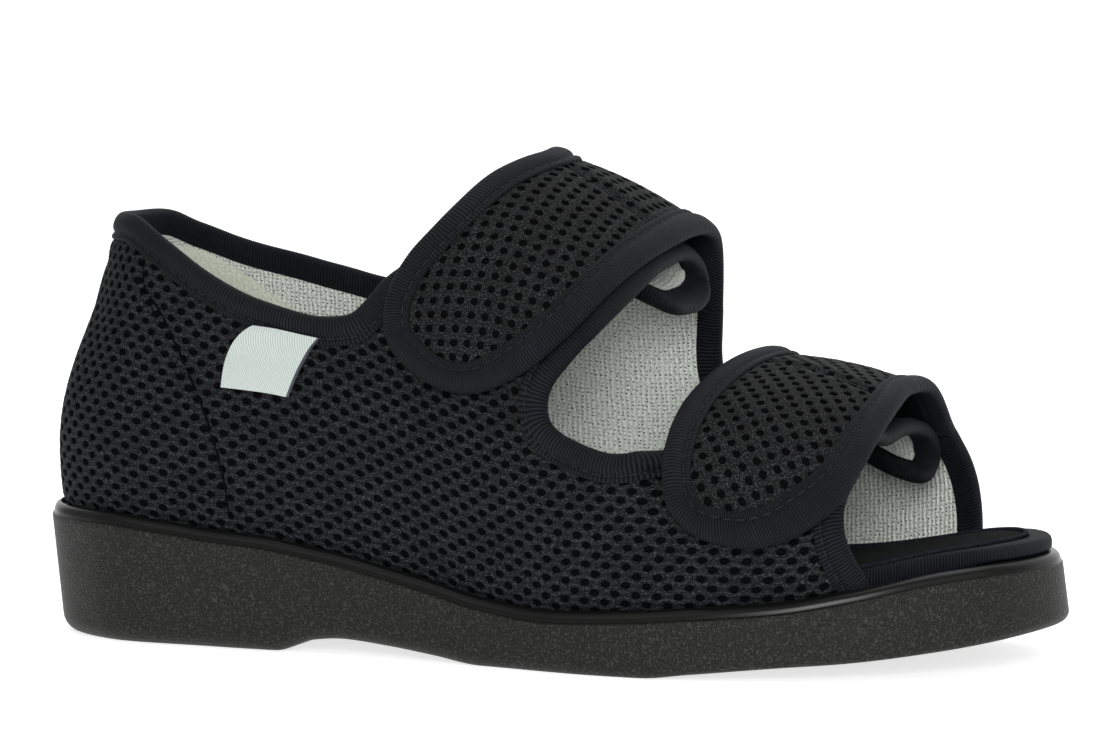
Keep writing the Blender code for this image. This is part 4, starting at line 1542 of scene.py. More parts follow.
@dataclass
class Lining:
    """The knitted loop lining: a thin closed layer inside the outer cloth."""

    inner: float = -0.0027
    outer: float = -0.0021
    setback: float = 0.0018
    pitch: float = 0.0030
    # Rows of its triangles, as a share of the pitch, and how it thins towards its bound edges
    lane: float = 0.87
    thinner: float = 0.0004
    thin_reach: float = 0.0040

    def make(
        self, maker: Maker, name: str, sheet: Sheet, cut: Cut, finish: Finish = Finish.LINING
    ) -> Any:
        """Make the lining of a cut piece, as a grid of triangles within its rim.

        Args:
            maker: makes the objects.
            name: the piece's name.
            sheet: what the cloth is wrapped over.
            cut: the outline of the piece.
            finish: its material.

        Returns:
            The piece.
        """
        pitch = self.pitch
        rim = cut.shrunk(self.setback)[::2]
        low, high = rim.min(0), rim.max(0)
        lanes = np.arange(low[1], high[1], pitch * self.lane)
        grid = np.array([(x + (k % 2) * pitch / 2, y) for k, y in enumerate(lanes)
                         for x in np.arange(low[0], high[0], pitch)])
        grid = grid[inside(grid, rim)]
        grid = grid[distance_to(grid, np.vstack([rim, rim[:1]])) > 0.5 * pitch]
        count = len(rim)
        edges = [(k, (k + 1) % count) for k in range(count)]
        spots = [Vector(p) for p in np.vstack([rim, grid])]
        inner_only, slack = 1, 1e-7
        result = delaunay_2d_cdt(spots, edges, [], inner_only, slack)
        verts, faces, origin = result[0], result[2], result[3]
        flat = np.array([tuple(v) for v in verts])
        where: dict[int, int] = {}
        for new, olds in enumerate(origin):
            for old in olds:
                where.setdefault(old, new)
        loop = [where[k] for k in range(count)]
        laid = sheet.limit(flat)
        full = smoothstep((cut.reach(laid) - self.setback) / self.thin_reach)
        inner = self.inner + self.thinner * (1 - full)
        points = np.vstack([sheet.place(laid, self.outer), sheet.place(laid, inner)])
        size = len(flat)
        polygons: Faces = []
        for a, b, c in faces:
            turn = np.cross(flat[b] - flat[a], flat[c] - flat[a])
            a, b, c = (a, b, c) if turn > 0 else (a, c, b)
            polygons += [(a, c, b), (size + a, size + b, size + c)]
        for k, a in enumerate(loop):
            b = loop[(k + 1) % len(loop)]
            polygons.append((a, b, size + b, size + a))
        return maker.mesh(name, points, polygons, finish, np.vstack([flat, flat]) / MM, 40.0)


@dataclass
class EdgeTape:
    """Binding tape folded over the bound edges of a cut piece."""

    section: Rows = (
        # in from the edge, height above the outer face, in millimetres
        (7.30, -0.35), (7.22, 0.14), (6.95, 0.32), (6.30, 0.34), (5.90, 0.16), (5.62, -0.14),
        (5.34, 0.12), (4.85, 0.56), (3.90, 0.86), (2.60, 0.86), (1.30, 0.52), (0.45, -0.06),
        (0.02, -0.80), (-0.10, -1.50), (0.08, -2.20), (0.60, -2.78), (1.60, -3.02),
        (3.20, -3.10), (4.80, -3.02), (5.40, -2.84), (5.80, -3.00), (6.30, -3.02), (6.60, -2.60),
    )
    threads: int = 44
    # The stitches lie in a groove of the tape, this far in and this far above the outer face
    groove: float = 0.0056
    sunk: float = -0.00006
    overrun: float = 0.0040

    def profile(self) -> Array:
        """Section of the tape: distance in from the edge, and height above the outer face."""
        return spline(np.array(self.section) * MM, self.threads)

    def strip(self, sheet: Sheet, path: Array) -> tuple[Array, Faces, Array]:
        """Tape along one bound stretch: its points, faces and flat places.

        Args:
            sheet: what the cloth is wrapped over.
            path: the points of the path.

        Returns:
            Its points, its faces and the flat place of each point.
        """
        inward = inward_of(path)
        profile = self.profile()
        across = arc_length(profile)
        ends = []
        tips = ((path[0], path[1], inward[0]), (path[-1], path[-2], inward[-1]))
        for tip, before, normal in tips:
            ahead = (tip - before) / np.linalg.norm(tip - before)
            ends.append(self.run_on(sheet, tip + profile[:, :1] * normal, ahead))
        fold = self.threads // 2 - 2
        along = arc_length(np.vstack([ends[0][fold], path, ends[1][fold]]))
        points, uv = [], []
        for (depth, height), v, first, last in zip(profile, across, *ends):
            flat = sheet.limit(np.vstack([first, path + inward * depth, last]))
            points.append(sheet.place(flat, height))
            uv.append(np.column_stack([along, np.full(len(flat), v)]) / MM)
        faces = [(a, d, c, b) for a, b, c, d in grid_faces(len(profile), len(along))]
        return np.vstack(points), faces, np.vstack(uv)

    def stitch_lines(self, sheet: Sheet, cut: Cut) -> list[Array]:
        """Where the tape of a cut piece is sewn down, in the shoe frame."""
        lines = [sheet.limit(path + inward_of(path) * self.groove) for path in cut.bound]
        return [sheet.place(line, self.sunk) for line in lines]

    def run_on(self, sheet: Sheet, tips: Array, ahead: Array) -> Array:
        """Carry the tape's cut end on, each thread of it until it meets the joint.

        Args:
            sheet: what the cloth is wrapped over.
            tips: the ends of its threads.
            ahead: the way that they run on.

        Returns:
            The ends of the threads at the joint.
        """
        low, high = np.zeros(len(tips)), np.full(len(tips), self.overrun)
        for _ in range(16):
            middle = (low + high) / 2
            reached = tips + ahead * middle[:, None]
            past = np.abs(sheet.limit(reached) - reached).max(1) > 1e-9
            low, high = np.where(past, low, middle), np.where(past, middle, high)
        return tips + ahead * low[:, None]

    def make(self, maker: Maker, name: str, sheet: Sheet, cut: Cut) -> Any:
        """Make the tape of a cut piece, as one object.

        Args:
            maker: makes the objects.
            name: the piece's name.
            sheet: what the cloth is wrapped over.
            cut: the outline of the piece.

        Returns:
            The piece.
        """
        points, faces, uv, size = [], [], [], 0
        for path in cut.bound:
            p, f, u = self.strip(sheet, path)
            points.append(p)
            faces += [tuple(k + size for k in face) for face in f]
            uv.append(u)
            size += len(p)
        return maker.mesh(name, np.vstack(points), faces, Finish.TAPE, np.vstack(uv), 80.0)


@dataclass
class Stitching:
    """Rows of lock stitch, set along paths by Geometry Nodes."""

    pitch: float = 0.0032
    length: float = 0.0027
    radius: float = 0.00015
    finish: Finish = Finish.THREAD

    def tree(self, thread: Any) -> Any:
        """The node tree that sets a stitch at each pitch of a path.

        Args:
            thread: the stitches' material.

        Returns:
            The tree.
        """
        tree, given = node_group("stitching", Pitch="Float", Length="Float", Radius="Float")
        curve = add(tree, "GeometryNodeMeshToCurve", {"Mesh": given["Geometry"]})
        inputs = {"Curve": curve, "Length": given["Pitch"]}
        spots = add(tree, "GeometryNodeCurveToPoints", inputs, mode="LENGTH")
        ball = add(tree, "GeometryNodeMeshUVSphere", {"Segments": 6, "Rings": 5, "Radius": 1.0})
        half = add(tree, "ShaderNodeMath", [given["Length"], 0.5], **TIMES)
        size = add(tree, "ShaderNodeCombineXYZ", [given["Radius"], given["Radius"], half])
        inputs = {"Points": spots, "Instance": ball, "Scale": size}
        inputs["Rotation"] = spots.outputs["Rotation"]
        placed = add(tree, "GeometryNodeInstanceOnPoints", inputs)
        real = add(tree, "GeometryNodeRealizeInstances", [placed])
        smooth = add(tree, "GeometryNodeSetShadeSmooth", [real])
        inputs = {"Geometry": smooth, "Material": thread}
        add(tree, "NodeGroupOutput", [add(tree, "GeometryNodeSetMaterial", inputs)])
        return tree

    def make(self, maker: Maker, name: str, paths: Sequence[Array]) -> Any:
        """Sew along paths given in the shoe frame.

        Args:
            maker: makes the objects.
            name: the piece's name.
            paths: the paths, in the shoe frame.

        Returns:
            The piece.
        """
        points, edges, size = [], [], 0
        for path in paths:
            points.append(path - maker.middle)
            edges += [(size + k, size + k + 1) for k in range(len(path) - 1)]
            size += len(path)
        tree = self.tree(maker.wardrobe.get(self.finish))
        values = {"Pitch": self.pitch, "Length": self.length, "Radius": self.radius}
        return maker.grown(raw_mesh(name, np.vstack(points), edges), tree, values)


# Sub-assemblies

@dataclass
class Sole:
    """The moulded sole with its rim, its grain and the slots of its tread."""

    form: SoleForm
    steps: int = 480
    radius_heel: float = 0.0050
    radius_toe: float = 0.0022
    draft_heel: float = 0.0022
    draft_toe: float = -0.0014
    rim_height: float = 0.0026
    rim_ledge: float = 0.0005
    slot_depth: float = 0.0014
    slot_width: float = 0.0028
    slot_pitch: float = 0.0085
    slot_margin: float = 0.0085
    # The wall ends in a small roll of two steps under the rim's ledge
    roll: tuple[float, float] = (0.0006, 0.0003)
    roll_inset: float = 0.00012
    slots: tuple[tuple[float, int], ...] = ((0.125, 5), (0.485, 11))

    def make(self, maker: Maker) -> Any:
        """Make the sole from rings around it, each one smooth by its share of the rim.

        Args:
            maker: makes the objects.

        Returns:
            The piece.
        """
        form = self.form
        plan, outward = form.outline(self.steps)
        toeward = smoothstep(plan[:, 0] / form.length)
        radius = self.radius_heel + (self.radius_toe - self.radius_heel) * toeward
        draft = self.draft_heel + (self.draft_toe - self.draft_heel) * toeward
        rim = form.rim(plan[:, 0])

        def ring(offset: Any, height: Callable[[Array], Array]) -> Array:
            """Points around the sole, set in from its outline."""
            xy = plan - outward * np.broadcast_to(offset, len(plan))[:, None]
            return np.column_stack([xy, height(xy[:, 0])])

        rings, bands = [], []
        def wall(x: Array) -> Array:
            """Height where the wall ends under the rim."""
            return form.top(x) - self.rim_height - self.roll[0]

        for turn in np.radians([0, 15, 30, 45, 60, 75, 90]):
            offset = draft + radius * (1 - math.sin(turn))
            rings.append(ring(offset, lambda x: form.bottom(x) + radius * (1 - math.cos(turn))))
            bands.append(0.0)
        for share in (0.25, 0.5, 0.75, 0.95):
            rings.append(ring(
                draft * (1 - share),
                lambda x: (form.bottom(x) + radius) * (1 - share) + wall(x) * share,
            ))
            bands.append(0.0)
        rings.append(ring(0.0, wall))
        ledge = ring(self.roll_inset, lambda x: form.top(x) - self.rim_height - self.roll[1])
        rings.append(ledge)
        rings.append(ring(self.rim_ledge, lambda x: form.top(x) - self.rim_height))
        bands += [0.0, 0.3, 1.0]
        for turn in np.radians([12, 28, 44, 60, 76, 90]):
            offset = self.rim_ledge + (rim - 0.0002 - self.rim_ledge) * (1 - math.cos(turn))
            crown = self.rim_height * (1 - math.sin(turn) ** 0.9)
            rings.append(ring(offset, lambda x: form.top(x) - crown))
            bands.append(1.0)
        rings.append(ring(rim + 0.0001, form.bed))
        bands.append(1.0)
        faces = ring_faces(len(rings), self.steps)
        item = maker.mesh("sole", np.vstack(rings), faces, Finish.FOAM, angle=38.0)
        smooth = item.data.attributes.new("smooth", "FLOAT", "POINT")
        smooth.data.foreach_set("value", np.repeat(np.array(bands, np.float32), self.steps))
        maker.outward(item)
        self.cut_slots(maker, item)
        return item

    def cut_slots(self, maker: Maker, item: Any) -> None:
        """Cut the slots between the lugs across the tread.

        Args:
            maker: makes the objects.
            item: the object.
        """
        plan, outward = self.form.outline(OUTLINE)
        margin = plan - outward * self.slot_margin
        toe = int(np.argmax(margin[:, 0]))
        outer, inner = margin[: toe + 1], margin[toe:][::-1]
        work = bmesh.new()
        for first, count in self.slots:
            for k in range(count):
                x = first * self.form.length + k * self.slot_pitch
                low = np.interp(x, outer[:, 0], outer[:, 1])
                high = np.interp(x, inner[:, 0], inner[:, 1])
                floor = float(self.form.bottom(x))
                for v in bmesh.ops.create_cube(work, size=1.0)["verts"]:
                    v.co.x = x + v.co.x * self.slot_width - maker.middle[0]
                    v.co.y = (low + high) / 2 + v.co.y * (high - low) - maker.middle[1]
                    v.co.z = floor + (self.slot_depth if v.co.z > 0 else -3 * self.slot_depth)
        mesh = bpy.data.meshes.new("slots")
        work.to_mesh(mesh)
        work.free()
        cutter = linked("slots", mesh)
        cut = item.modifiers.new("slots", "BOOLEAN")
        cut.operation = "DIFFERENCE"
        cut.solver = "EXACT"
        cut.object = cutter
        maker.baked(item)
        bpy.data.objects.remove(cutter, do_unlink=True)


@dataclass
class Footbed:
    """The plush footbed and the ribbed tape around its edge."""

    form: SoleForm
    steps: int = 420
    inset: float = 0.0073
    inset_toe: float = 0.0026
    rise: float = 0.0037
    binding: float = 0.0058
    pad: float = 0.0010
    face_gap: float = 0.0003

    def edge(self) -> tuple[Array, Array, Array]:
        """The footbed's outline, outward normals and inset from the sole's outline."""
        plan, outward = self.form.outline(self.steps)
        start, tip = self.form.bed_end[0], self.form.toe_tip[0]
        reach = (plan[:, 0] / self.form.length - start) / (tip - start)
        inset = self.inset - self.form.rim_width + self.form.rim(plan[:, 0])
        return plan, outward, inset + (self.inset_toe - inset) * smoothstep(reach)

    def make(self, maker: Maker) -> list[Any]:
        """Make the pad and its tape.

        Args:
            maker: makes the objects.

        Returns:
            The pieces.
        """
        plan, outward, inset = self.edge()
        form, top, gap, edge = self.form, self.rise, self.face_gap, self.binding

        def ring(
            offset: float, height: float, floor: Callable[[Array], Array] = form.top
        ) -> Array:
            """Points around the footbed, set in from its edge, at a height above a floor."""
            xy = plan - outward * (inset + offset)[:, None]
            return np.column_stack([xy, floor(xy[:, 0]) + height])

        tape = [
            ring(0.0007, gap, form.bed),
            ring(0.00015, gap + 0.0004, form.bed),
            ring(0.0, gap + 0.0009, form.bed),
            ring(0.0, top - 0.0014),
            ring(0.0002, top - 0.0006),
            ring(0.0007, top - 0.0001),
            ring(0.0014, top + 0.0001),
            ring(0.0032, top + 0.00025),
            ring(edge - 0.0006, top + 0.0001),
            ring(edge - 0.0001, top - 0.0001),
            ring(edge, top - 0.0007),
        ]
        count = self.steps
        faces = ring_faces(len(tape), count, caps=False)
        along = arc_length(np.vstack([plan, plan[:1]]))[:-1]
        across = np.cumsum([0, 0.7, 0.5, 2.0, 0.8, 0.7, 0.7, 1.8, 2.0, 0.5, 0.6])
        uv = np.vstack([np.column_stack([along / MM, np.full(count, v)]) for v in across])
        band = maker.mesh("footbed_tape", np.vstack(tape), faces, Finish.TAPE, uv, 80.0)
        pad = [
            ring(edge + 0.0002, -0.0002),
            ring(edge - 0.0003, top - 0.0008),
            ring(edge + 0.0003, top - 0.0002),
            ring(edge + 0.0014, top + 0.0004),
            ring(edge + 0.0035, top + 0.0007),
            ring(edge + 0.0065, top + self.pad - 0.0001),
            ring(edge + 0.012, top + self.pad),
        ]
        faces = ring_faces(len(pad), count)
        cushion = maker.mesh("footbed_plush", np.vstack(pad), faces, Finish.PLUSH, angle=70.0)
        maker.outward(cushion)
        # The tufts take the lighter plush: a painted highlight along the tape's edge
        fringe = Stitching(pitch=0.0011, length=0.0021, radius=0.00065, finish=Finish.TUFT)
        tufts = fringe.make(maker, "footbed_tufts", [ring(edge + 0.0005, top + 0.0006)])
        return [band, cushion, tufts]


@dataclass
class Upper:
    """The mesh upper: outer cloth, lining, heel patch, tape and stitching."""

    form: FootForm
    lateral_edge: Rows = (
        # along, climb in millimetres
        (0.858, 0.0), (0.851, 4.5), (0.844, 8.5), (0.836, 15.0), (0.834, 21.0),
        (0.838, 28.0), (0.844, 37.0), (0.846, 48.0), (0.846, 70.0), (0.846, 100.0),
    )
    toe_flap_end: Rows = ((0.840, 112.0), (0.820, 116.0), (0.735, 116.0), (0.715, 112.0))
    throat_edge: Rows = (
        (0.709, 100.0), (0.709, 78.0), (0.706, 66.0), (0.698, 56.0), (0.686, 48.0), (0.674, 43.8),
        (0.660, 41.0), (0.645, 39.8), (0.625, 39.6), (0.608, 40.8), (0.590, 42.6), (0.572, 44.8),
        (0.560, 47.6), (0.556, 51.8), (0.561, 56.5), (0.571, 60.5), (0.584, 65.5), (0.597, 70.5),
        (0.608, 76.0), (0.619, 84.0), (0.626, 94.0), (0.628, 110.0), (0.628, 150.0),
    )
    instep_flap_end: Rows = ((0.621, 160.0), (0.602, 165.0), (0.502, 165.0), (0.484, 160.0))
    collar_lateral: Rows = (
        (0.476, 150.0), (0.476, 118.0), (0.466, 104.0), (0.446, 92.0), (0.423, 83.0),
        (0.402, 77.5), (0.382, 72.0), (0.366, 66.0), (0.351, 61.5), (0.324, 59.2),
        (0.285, 59.0), (0.251, 60.5), (0.204, 65.0), (0.149, 71.6), (0.099, 76.4),
        (0.046, 78.2),
    )
    collar_back: float = 78.6
    collar_medial: Rows = (
        (0.046, 76.5), (0.092, 71.8), (0.155, 68.3), (0.211, 66.5), (0.253, 64.6), (0.297, 63.4),
        (0.330, 64.0), (0.360, 67.5), (0.388, 74.5), (0.405, 79.6),
    )
    medial_throat: Rows = (
        (0.629, 67.2), (0.6265, 62.0), (0.6245, 56.5), (0.627, 49.0), (0.638, 42.5),
        (0.655, 39.5), (0.672, 40.0), (0.684, 43.5), (0.691, 47.3),
    )
    medial_front: Rows = (
        (0.861, 34.3), (0.8650, 29.5), (0.8705, 24.5), (0.8765, 17.5), (0.880, 10.0), (0.881, 0.0),
    )
    quarter_seam: Rows = (
        (0.118, 66.0), (0.122, 60.2), (0.144, 54.5), (0.169, 46.4), (0.193, 36.1), (0.210, 26.1),
        (0.222, 13.8), (0.226, 3.6),
    )
    tuck: float = 0.0009
    # Depth and width of the hollows beside the tape and along the heel seam, and the height,
    # width and place of the swells on both sides of the seam
    tape_trough: tuple[float, float] = (0.00045, 0.0014)
    seam_trough: tuple[float, float] = (0.0010, 0.0010)
    seam_swell: tuple[float, float, float] = (0.0004, 0.0018, 0.0034)
    welt_size: float = 0.00042
    welt_sunk: float = 0.00120
    heel_patch_edge: Rows = (
        # along, climb in millimetres, from the inside's lowest point up to the middle of the heel
        (0.41, 8.0), (0.38, 22.0), (0.32, 34.0), (0.26, 44.0), (0.211, 51.7), (0.159, 59.3),
        (0.124, 63.0), (0.06, 68.0), (0.0, 70.0),
    )
    heel_patch_foot: float = 0.006
    heel_patch_depth: float = 0.0026
    heel_patch_swell: float = 0.0005
    # Soft hollows and ridges: along, climb, half length, half width, turn, height
    creases: Rows = (
        (0.000, 69.6, 13.0, 2.3, 0.0, 1.2),
        (0.000, 65.0, 14.0, 1.7, 0.0, -0.9),
        (0.060, 46.0, 22.0, 5.0, 70.0, -0.5),
        (0.085, 30.0, 20.0, 6.0, 60.0, 0.4),
        (0.262, 44.0, 24.0, 6.0, 105.0, -0.4),
        (0.330, 36.0, 20.0, 7.0, 95.0, 0.3),
        (0.440, 56.0, 22.0, 5.0, 60.0, -0.6),
        (0.500, 40.0, 22.0, 6.0, 75.0, 0.4),
        (0.640, 24.0, 16.0, 5.0, 20.0, -0.4),
        (0.700, 30.0, 14.0, 4.0, 55.0, -0.5),
        (0.760, 16.0, 20.0, 6.0, 12.0, 0.4),
    )

    def __post_init__(self) -> None:
        """Work out the sheet and the cut."""
        self.sheet = UpperSheet(self.form)
        self.cut = self.outline()
        self.seam = spline(self.sheet.flat(-1, self.quarter_seam), 60)

    def outline(self) -> Cut:
        """The outline of the upper, with the cloth to its left."""
        sheet = self.sheet
        inner = sheet.sides[1]
        back = np.array([[0.0, self.collar_back * MM]])
        front = [*self.lateral_edge, *self.toe_flap_end, *self.throat_edge]
        rows = [*front, *self.instep_flap_end, *self.collar_lateral]
        free = np.vstack([sheet.flat(-1, rows), back, sheet.flat(1, self.collar_medial)])

        def butt(settle: float, low: float, high: float) -> Array:
            """Where a strap is joined to the inner side, between two shares of the length."""
            run = inner.run_at(np.linspace(low, high, 9))
            return np.column_stack([run, np.interp(run, inner.run, inner.climb) - settle])

        instep = butt(INSTEP_SETTLE, self.collar_medial[-1][0], self.medial_throat[0][0])
        toe = butt(TOE_SETTLE, self.medial_throat[-1][0], self.medial_front[0][0])
        throat = sheet.flat(1, self.medial_throat)
        front = sheet.flat(1, self.medial_front)
        free[-1] = instep[0]
        throat[0], throat[-1] = instep[-1], toe[0]
        front[0] = toe[-1]
        foot = np.array([front[-1], free[0]])
        sheet.joints = [instep, toe]
        runs = [(foot, False), (front, True), (toe, False), (throat, True), (instep, False)]
        return Cut.from_runs([(path[::-1], taped) for path, taped in runs + [(free, True)]])

    def relief(self, flat: Array) -> Array:
        """Trough along the tape and the quarter seam, and the creases.

        Args:
            flat: the flat points.

        Returns:
            The heights.
        """
        reach = self.cut.reach(flat)
        depth, width = self.tape_trough
        height = -depth * bell(reach - TAPE_END, width)
        seam = distance_to(flat, self.seam)
        (depth, width), (rise, spread, away) = self.seam_trough, self.seam_swell
        height += -depth * bell(seam, width) + rise * bell(seam - away, spread)
        for along, climb, length, width, turn, rise in self.creases:
            centre = self.sheet.flat(-1, [(along, climb)])[0]
            angle = math.radians(turn)
            axis = np.array([math.cos(angle), math.sin(angle)])
            away = flat - centre
            u, v = away @ axis, away @ np.array([-axis[1], axis[0]])
            height += rise * MM * np.exp(-((u / (length * MM)) ** 2) - (v / (width * MM)) ** 2)
        tuck = self.tuck * (1 - smoothstep(flat[:, 1] / 0.0042))
        return height * smoothstep(flat[:, 1] / 0.006) - tuck

    def make(self, maker: Maker) -> list[Any]:
        """Make the pieces of the upper.

        Args:
            maker: makes the objects.

        Returns:
            The pieces.
        """
        sheet, cut = self.sheet, self.cut
        cloth = PerforatedCloth().make(maker, "upper_cloth", sheet, cut, self.relief)
        lining = Lining().make(maker, "upper_lining", sheet, cut)
        tape = EdgeTape().make(maker, "upper_tape", sheet, cut)
        lines = EdgeTape().stitch_lines(sheet, cut)
        stitches = Stitching().make(maker, "upper_stitches", lines)
        return [cloth, lining, tape, stitches, self.welt(maker)]

    def welt(self, maker: Maker) -> Any:
        """The heel panel's folded edge, in the cells' painted deep shade, as a fine dark line in
        the seam's hollow.

        Args:
            maker: makes the objects.

        Returns:
            The piece.
        """
        sides, size, inward = 8, self.welt_size, inward_of(self.seam)
        rings = []
        for turn in np.linspace(0, 2 * math.pi, sides, endpoint=False):
            line = self.seam + inward * size * math.cos(turn)
            rings.append(self.sheet.place(line, size * math.sin(turn) - self.welt_sunk))
        points = np.vstack(rings)
        around = grid_faces(sides + 1, len(self.seam))
        faces = [tuple(v % len(points) for v in face) for face in around]
        uv = np.vstack([self.seam + [0, 0.0003 * k] for k in range(sides)]) / MM
        # The cells' finish is painted deep shade, which darkens the seam's hollow
        item = maker.mesh("quarter_welt", points, faces, Finish.CELL, uv, 80.0)
        maker.outward(item)
        return item

    def heel_patch(self, maker: Maker) -> Any:
        """The brushed patch inside the heel, over the stiffener.

        Args:
            maker: makes the objects.

        Returns:
            The piece.
        """
        sheet, half = self.sheet, self.heel_patch_edge
        edge = np.vstack([sheet.flat(-1, half[:-1]), sheet.flat(1, half[::-1])])
        top = spline(edge, 90)
        across, up = np.meshgrid(np.linspace(0, 1, len(top)), np.linspace(0, 1, 26))
        run = np.broadcast_to(top[:, 0], across.shape)
        climb = self.heel_patch_foot + (top[:, 1] - self.heel_patch_foot) * up
        flat = np.column_stack([run.ravel(), climb.ravel()])
        lip = np.minimum(1.0, (1 - up.ravel()) * 12)
        points = sheet.place(flat, -self.heel_patch_depth - self.heel_patch_swell * lip)
        faces = grid_faces(*across.shape)
        return maker.mesh("heel_patch", points, faces, Finish.PATCH, flat / MM, 60.0)


@dataclass
class Strap:
    """A hook and loop strap: cloth, lining, tape and the stitches around its hook patch."""

    name: str
    form: FootForm
    settle: float
    sections: Rows
    edge: Rows
    hook: Rows
    row: tuple[float, float]
    column: tuple[float, float]
    puff: float = 0.0006
    puff_reach: float = 0.012
    # As on the upper, and the same along the stitches of the hook patch
    tape_trough: tuple[float, float] = (0.00035, 0.0013)
    hook_trough: tuple[float, float] = (0.0010, 0.0013)
    hook_swell: tuple[float, float, float] = (0.0003, 0.0018, 0.0036)
    hook_stitch: float = 0.0009

    def __post_init__(self) -> None:
        """Work out the sheet and the cut."""
        self.sheet = StrapSheet(self.form, self.settle, self.sections)
        rows = np.array(self.edge, float)
        length = self.form.sole.length
        free = np.column_stack([rows[:, 0] * length, rows[:, 1] * MM])
        joint = np.linspace(free[-1, 0], free[0, 0], 9)
        butt = np.column_stack([joint, np.full(len(joint), -self.settle)])
        free[0], free[-1] = butt[-1], butt[0]
        self.cut = Cut.from_runs([(butt[::-1], False), (free[::-1], True)])
        table = np.array(self.hook, float)
        self.hook_line = spline(np.column_stack([table[:, 0] * length, table[:, 1] * MM]), 40)

    def relief(self, flat: Array) -> Array:
        """Padded middle, a trough along the tape and one over the hook patch's stitches.

        Args:
            flat: the flat points.

        Returns:
            The heights.
        """
        reach = self.cut.reach(flat)
        height = self.puff * smoothstep((reach - TAPE_END) / self.puff_reach)
        depth, width = self.tape_trough
        height = height - depth * bell(reach - TAPE_END, width)
        line = distance_to(flat, self.hook_line)
        (depth, width), (rise, spread, away) = self.hook_trough, self.hook_swell
        return height - depth * bell(line, width) + rise * bell(line - away, spread)

    def make(self, maker: Maker) -> list[Any]:
        """Make the pieces of the strap.

        Args:
            maker: makes the objects.

        Returns:
            The pieces.
        """
        sheet, cut = self.sheet, self.cut
        weave = PerforatedCloth(
            row=self.row,
            column=self.column,
            hole=(1.0, 0.96),
            shares=(1.32, 1.03, 0.90),
            lip=0.00008,
            funnel=0.00012,
            unevenness=0.00016,
            seed=7,
            yarn=Finish.YARN,
        )
        cloth = weave.make(maker, self.name + "_cloth", sheet, cut, self.relief)
        lining = Lining().make(maker, self.name + "_lining", sheet, cut, Finish.FACING)
        tape = EdgeTape().make(maker, self.name + "_tape", sheet, cut)
        lines = EdgeTape().stitch_lines(sheet, cut)
        lines.append(sheet.place(self.hook_line, self.puff - self.hook_stitch))
        stitches = Stitching().make(maker, self.name + "_stitches", lines)
        return [cloth, lining, tape, stitches]


@dataclass
class Label:
    """A bare woven label that hangs from the collar's tape."""

    sheet: UpperSheet
    size: tuple[float, float] = (0.0185, 0.0162)
    at: tuple[float, float] = (0.2545, 0.0536)
    slant: float = 0.0082
    swing: tuple[float, float] = (0.0006, 0.0028)
    thickness: float = 0.00024
    # How far it stands off: at rest, over the collar's tape, at its curled foot and in its belly
    gap: float = 0.0003
    step: float = 0.0006
    curl: float = 0.0004
    belly: float = 0.0009

    def make(self, maker: Maker) -> Any:
        """Make the label, swung out in the middle and a little curled at its lower corners.

        Args:
            maker: makes the objects.

        Returns:
            The piece.
        """
        width, height = self.size
        columns, rows = 33, 29
        across, down = np.meshgrid(np.linspace(0, 1, columns), np.linspace(0, 1, rows))
        swing = np.sin(math.pi * down ** 0.72)
        run = (across - 1) * width + down * self.slant - self.sheet.sides[-1].run_at(self.at[0])
        run += swing * (self.swing[0] * (1 - across) + self.swing[1] * across)
        flat = np.column_stack([run.ravel(), (self.at[1] - down * height).ravel()])
        d, a = down.ravel(), across.ravel()
        under = self.gap + self.step * (1 - smoothstep(d / 0.45 - 0.2))
        under = under + self.curl * d * d * (0.4 + a * a)
        under += self.belly * np.sin(math.pi * d) * (0.6 + 0.4 * (1 - a))
        face = self.sheet.place(flat, under + self.thickness)
        points = np.vstack([face, self.sheet.place(flat, under)])
        count = rows * columns
        faces: Faces = []
        for quad in grid_faces(rows, columns):
            faces += [quad, tuple(count + n for n in reversed(quad))]
        grid = np.arange(count).reshape(rows, columns)
        rim = np.r_[grid[0], grid[1:, -1], grid[-1, -2::-1], grid[-2:0:-1, 0]]
        for this, following in zip(rim, np.roll(rim, -1)):
            faces.append((this, this + count, following + count, following))
        uv = np.column_stack([a * width, d * height]) / MM
        item = maker.mesh("side_label", points, faces, Finish.LABEL, np.vstack([uv, uv]), 50.0)
        maker.outward(item)
        return item


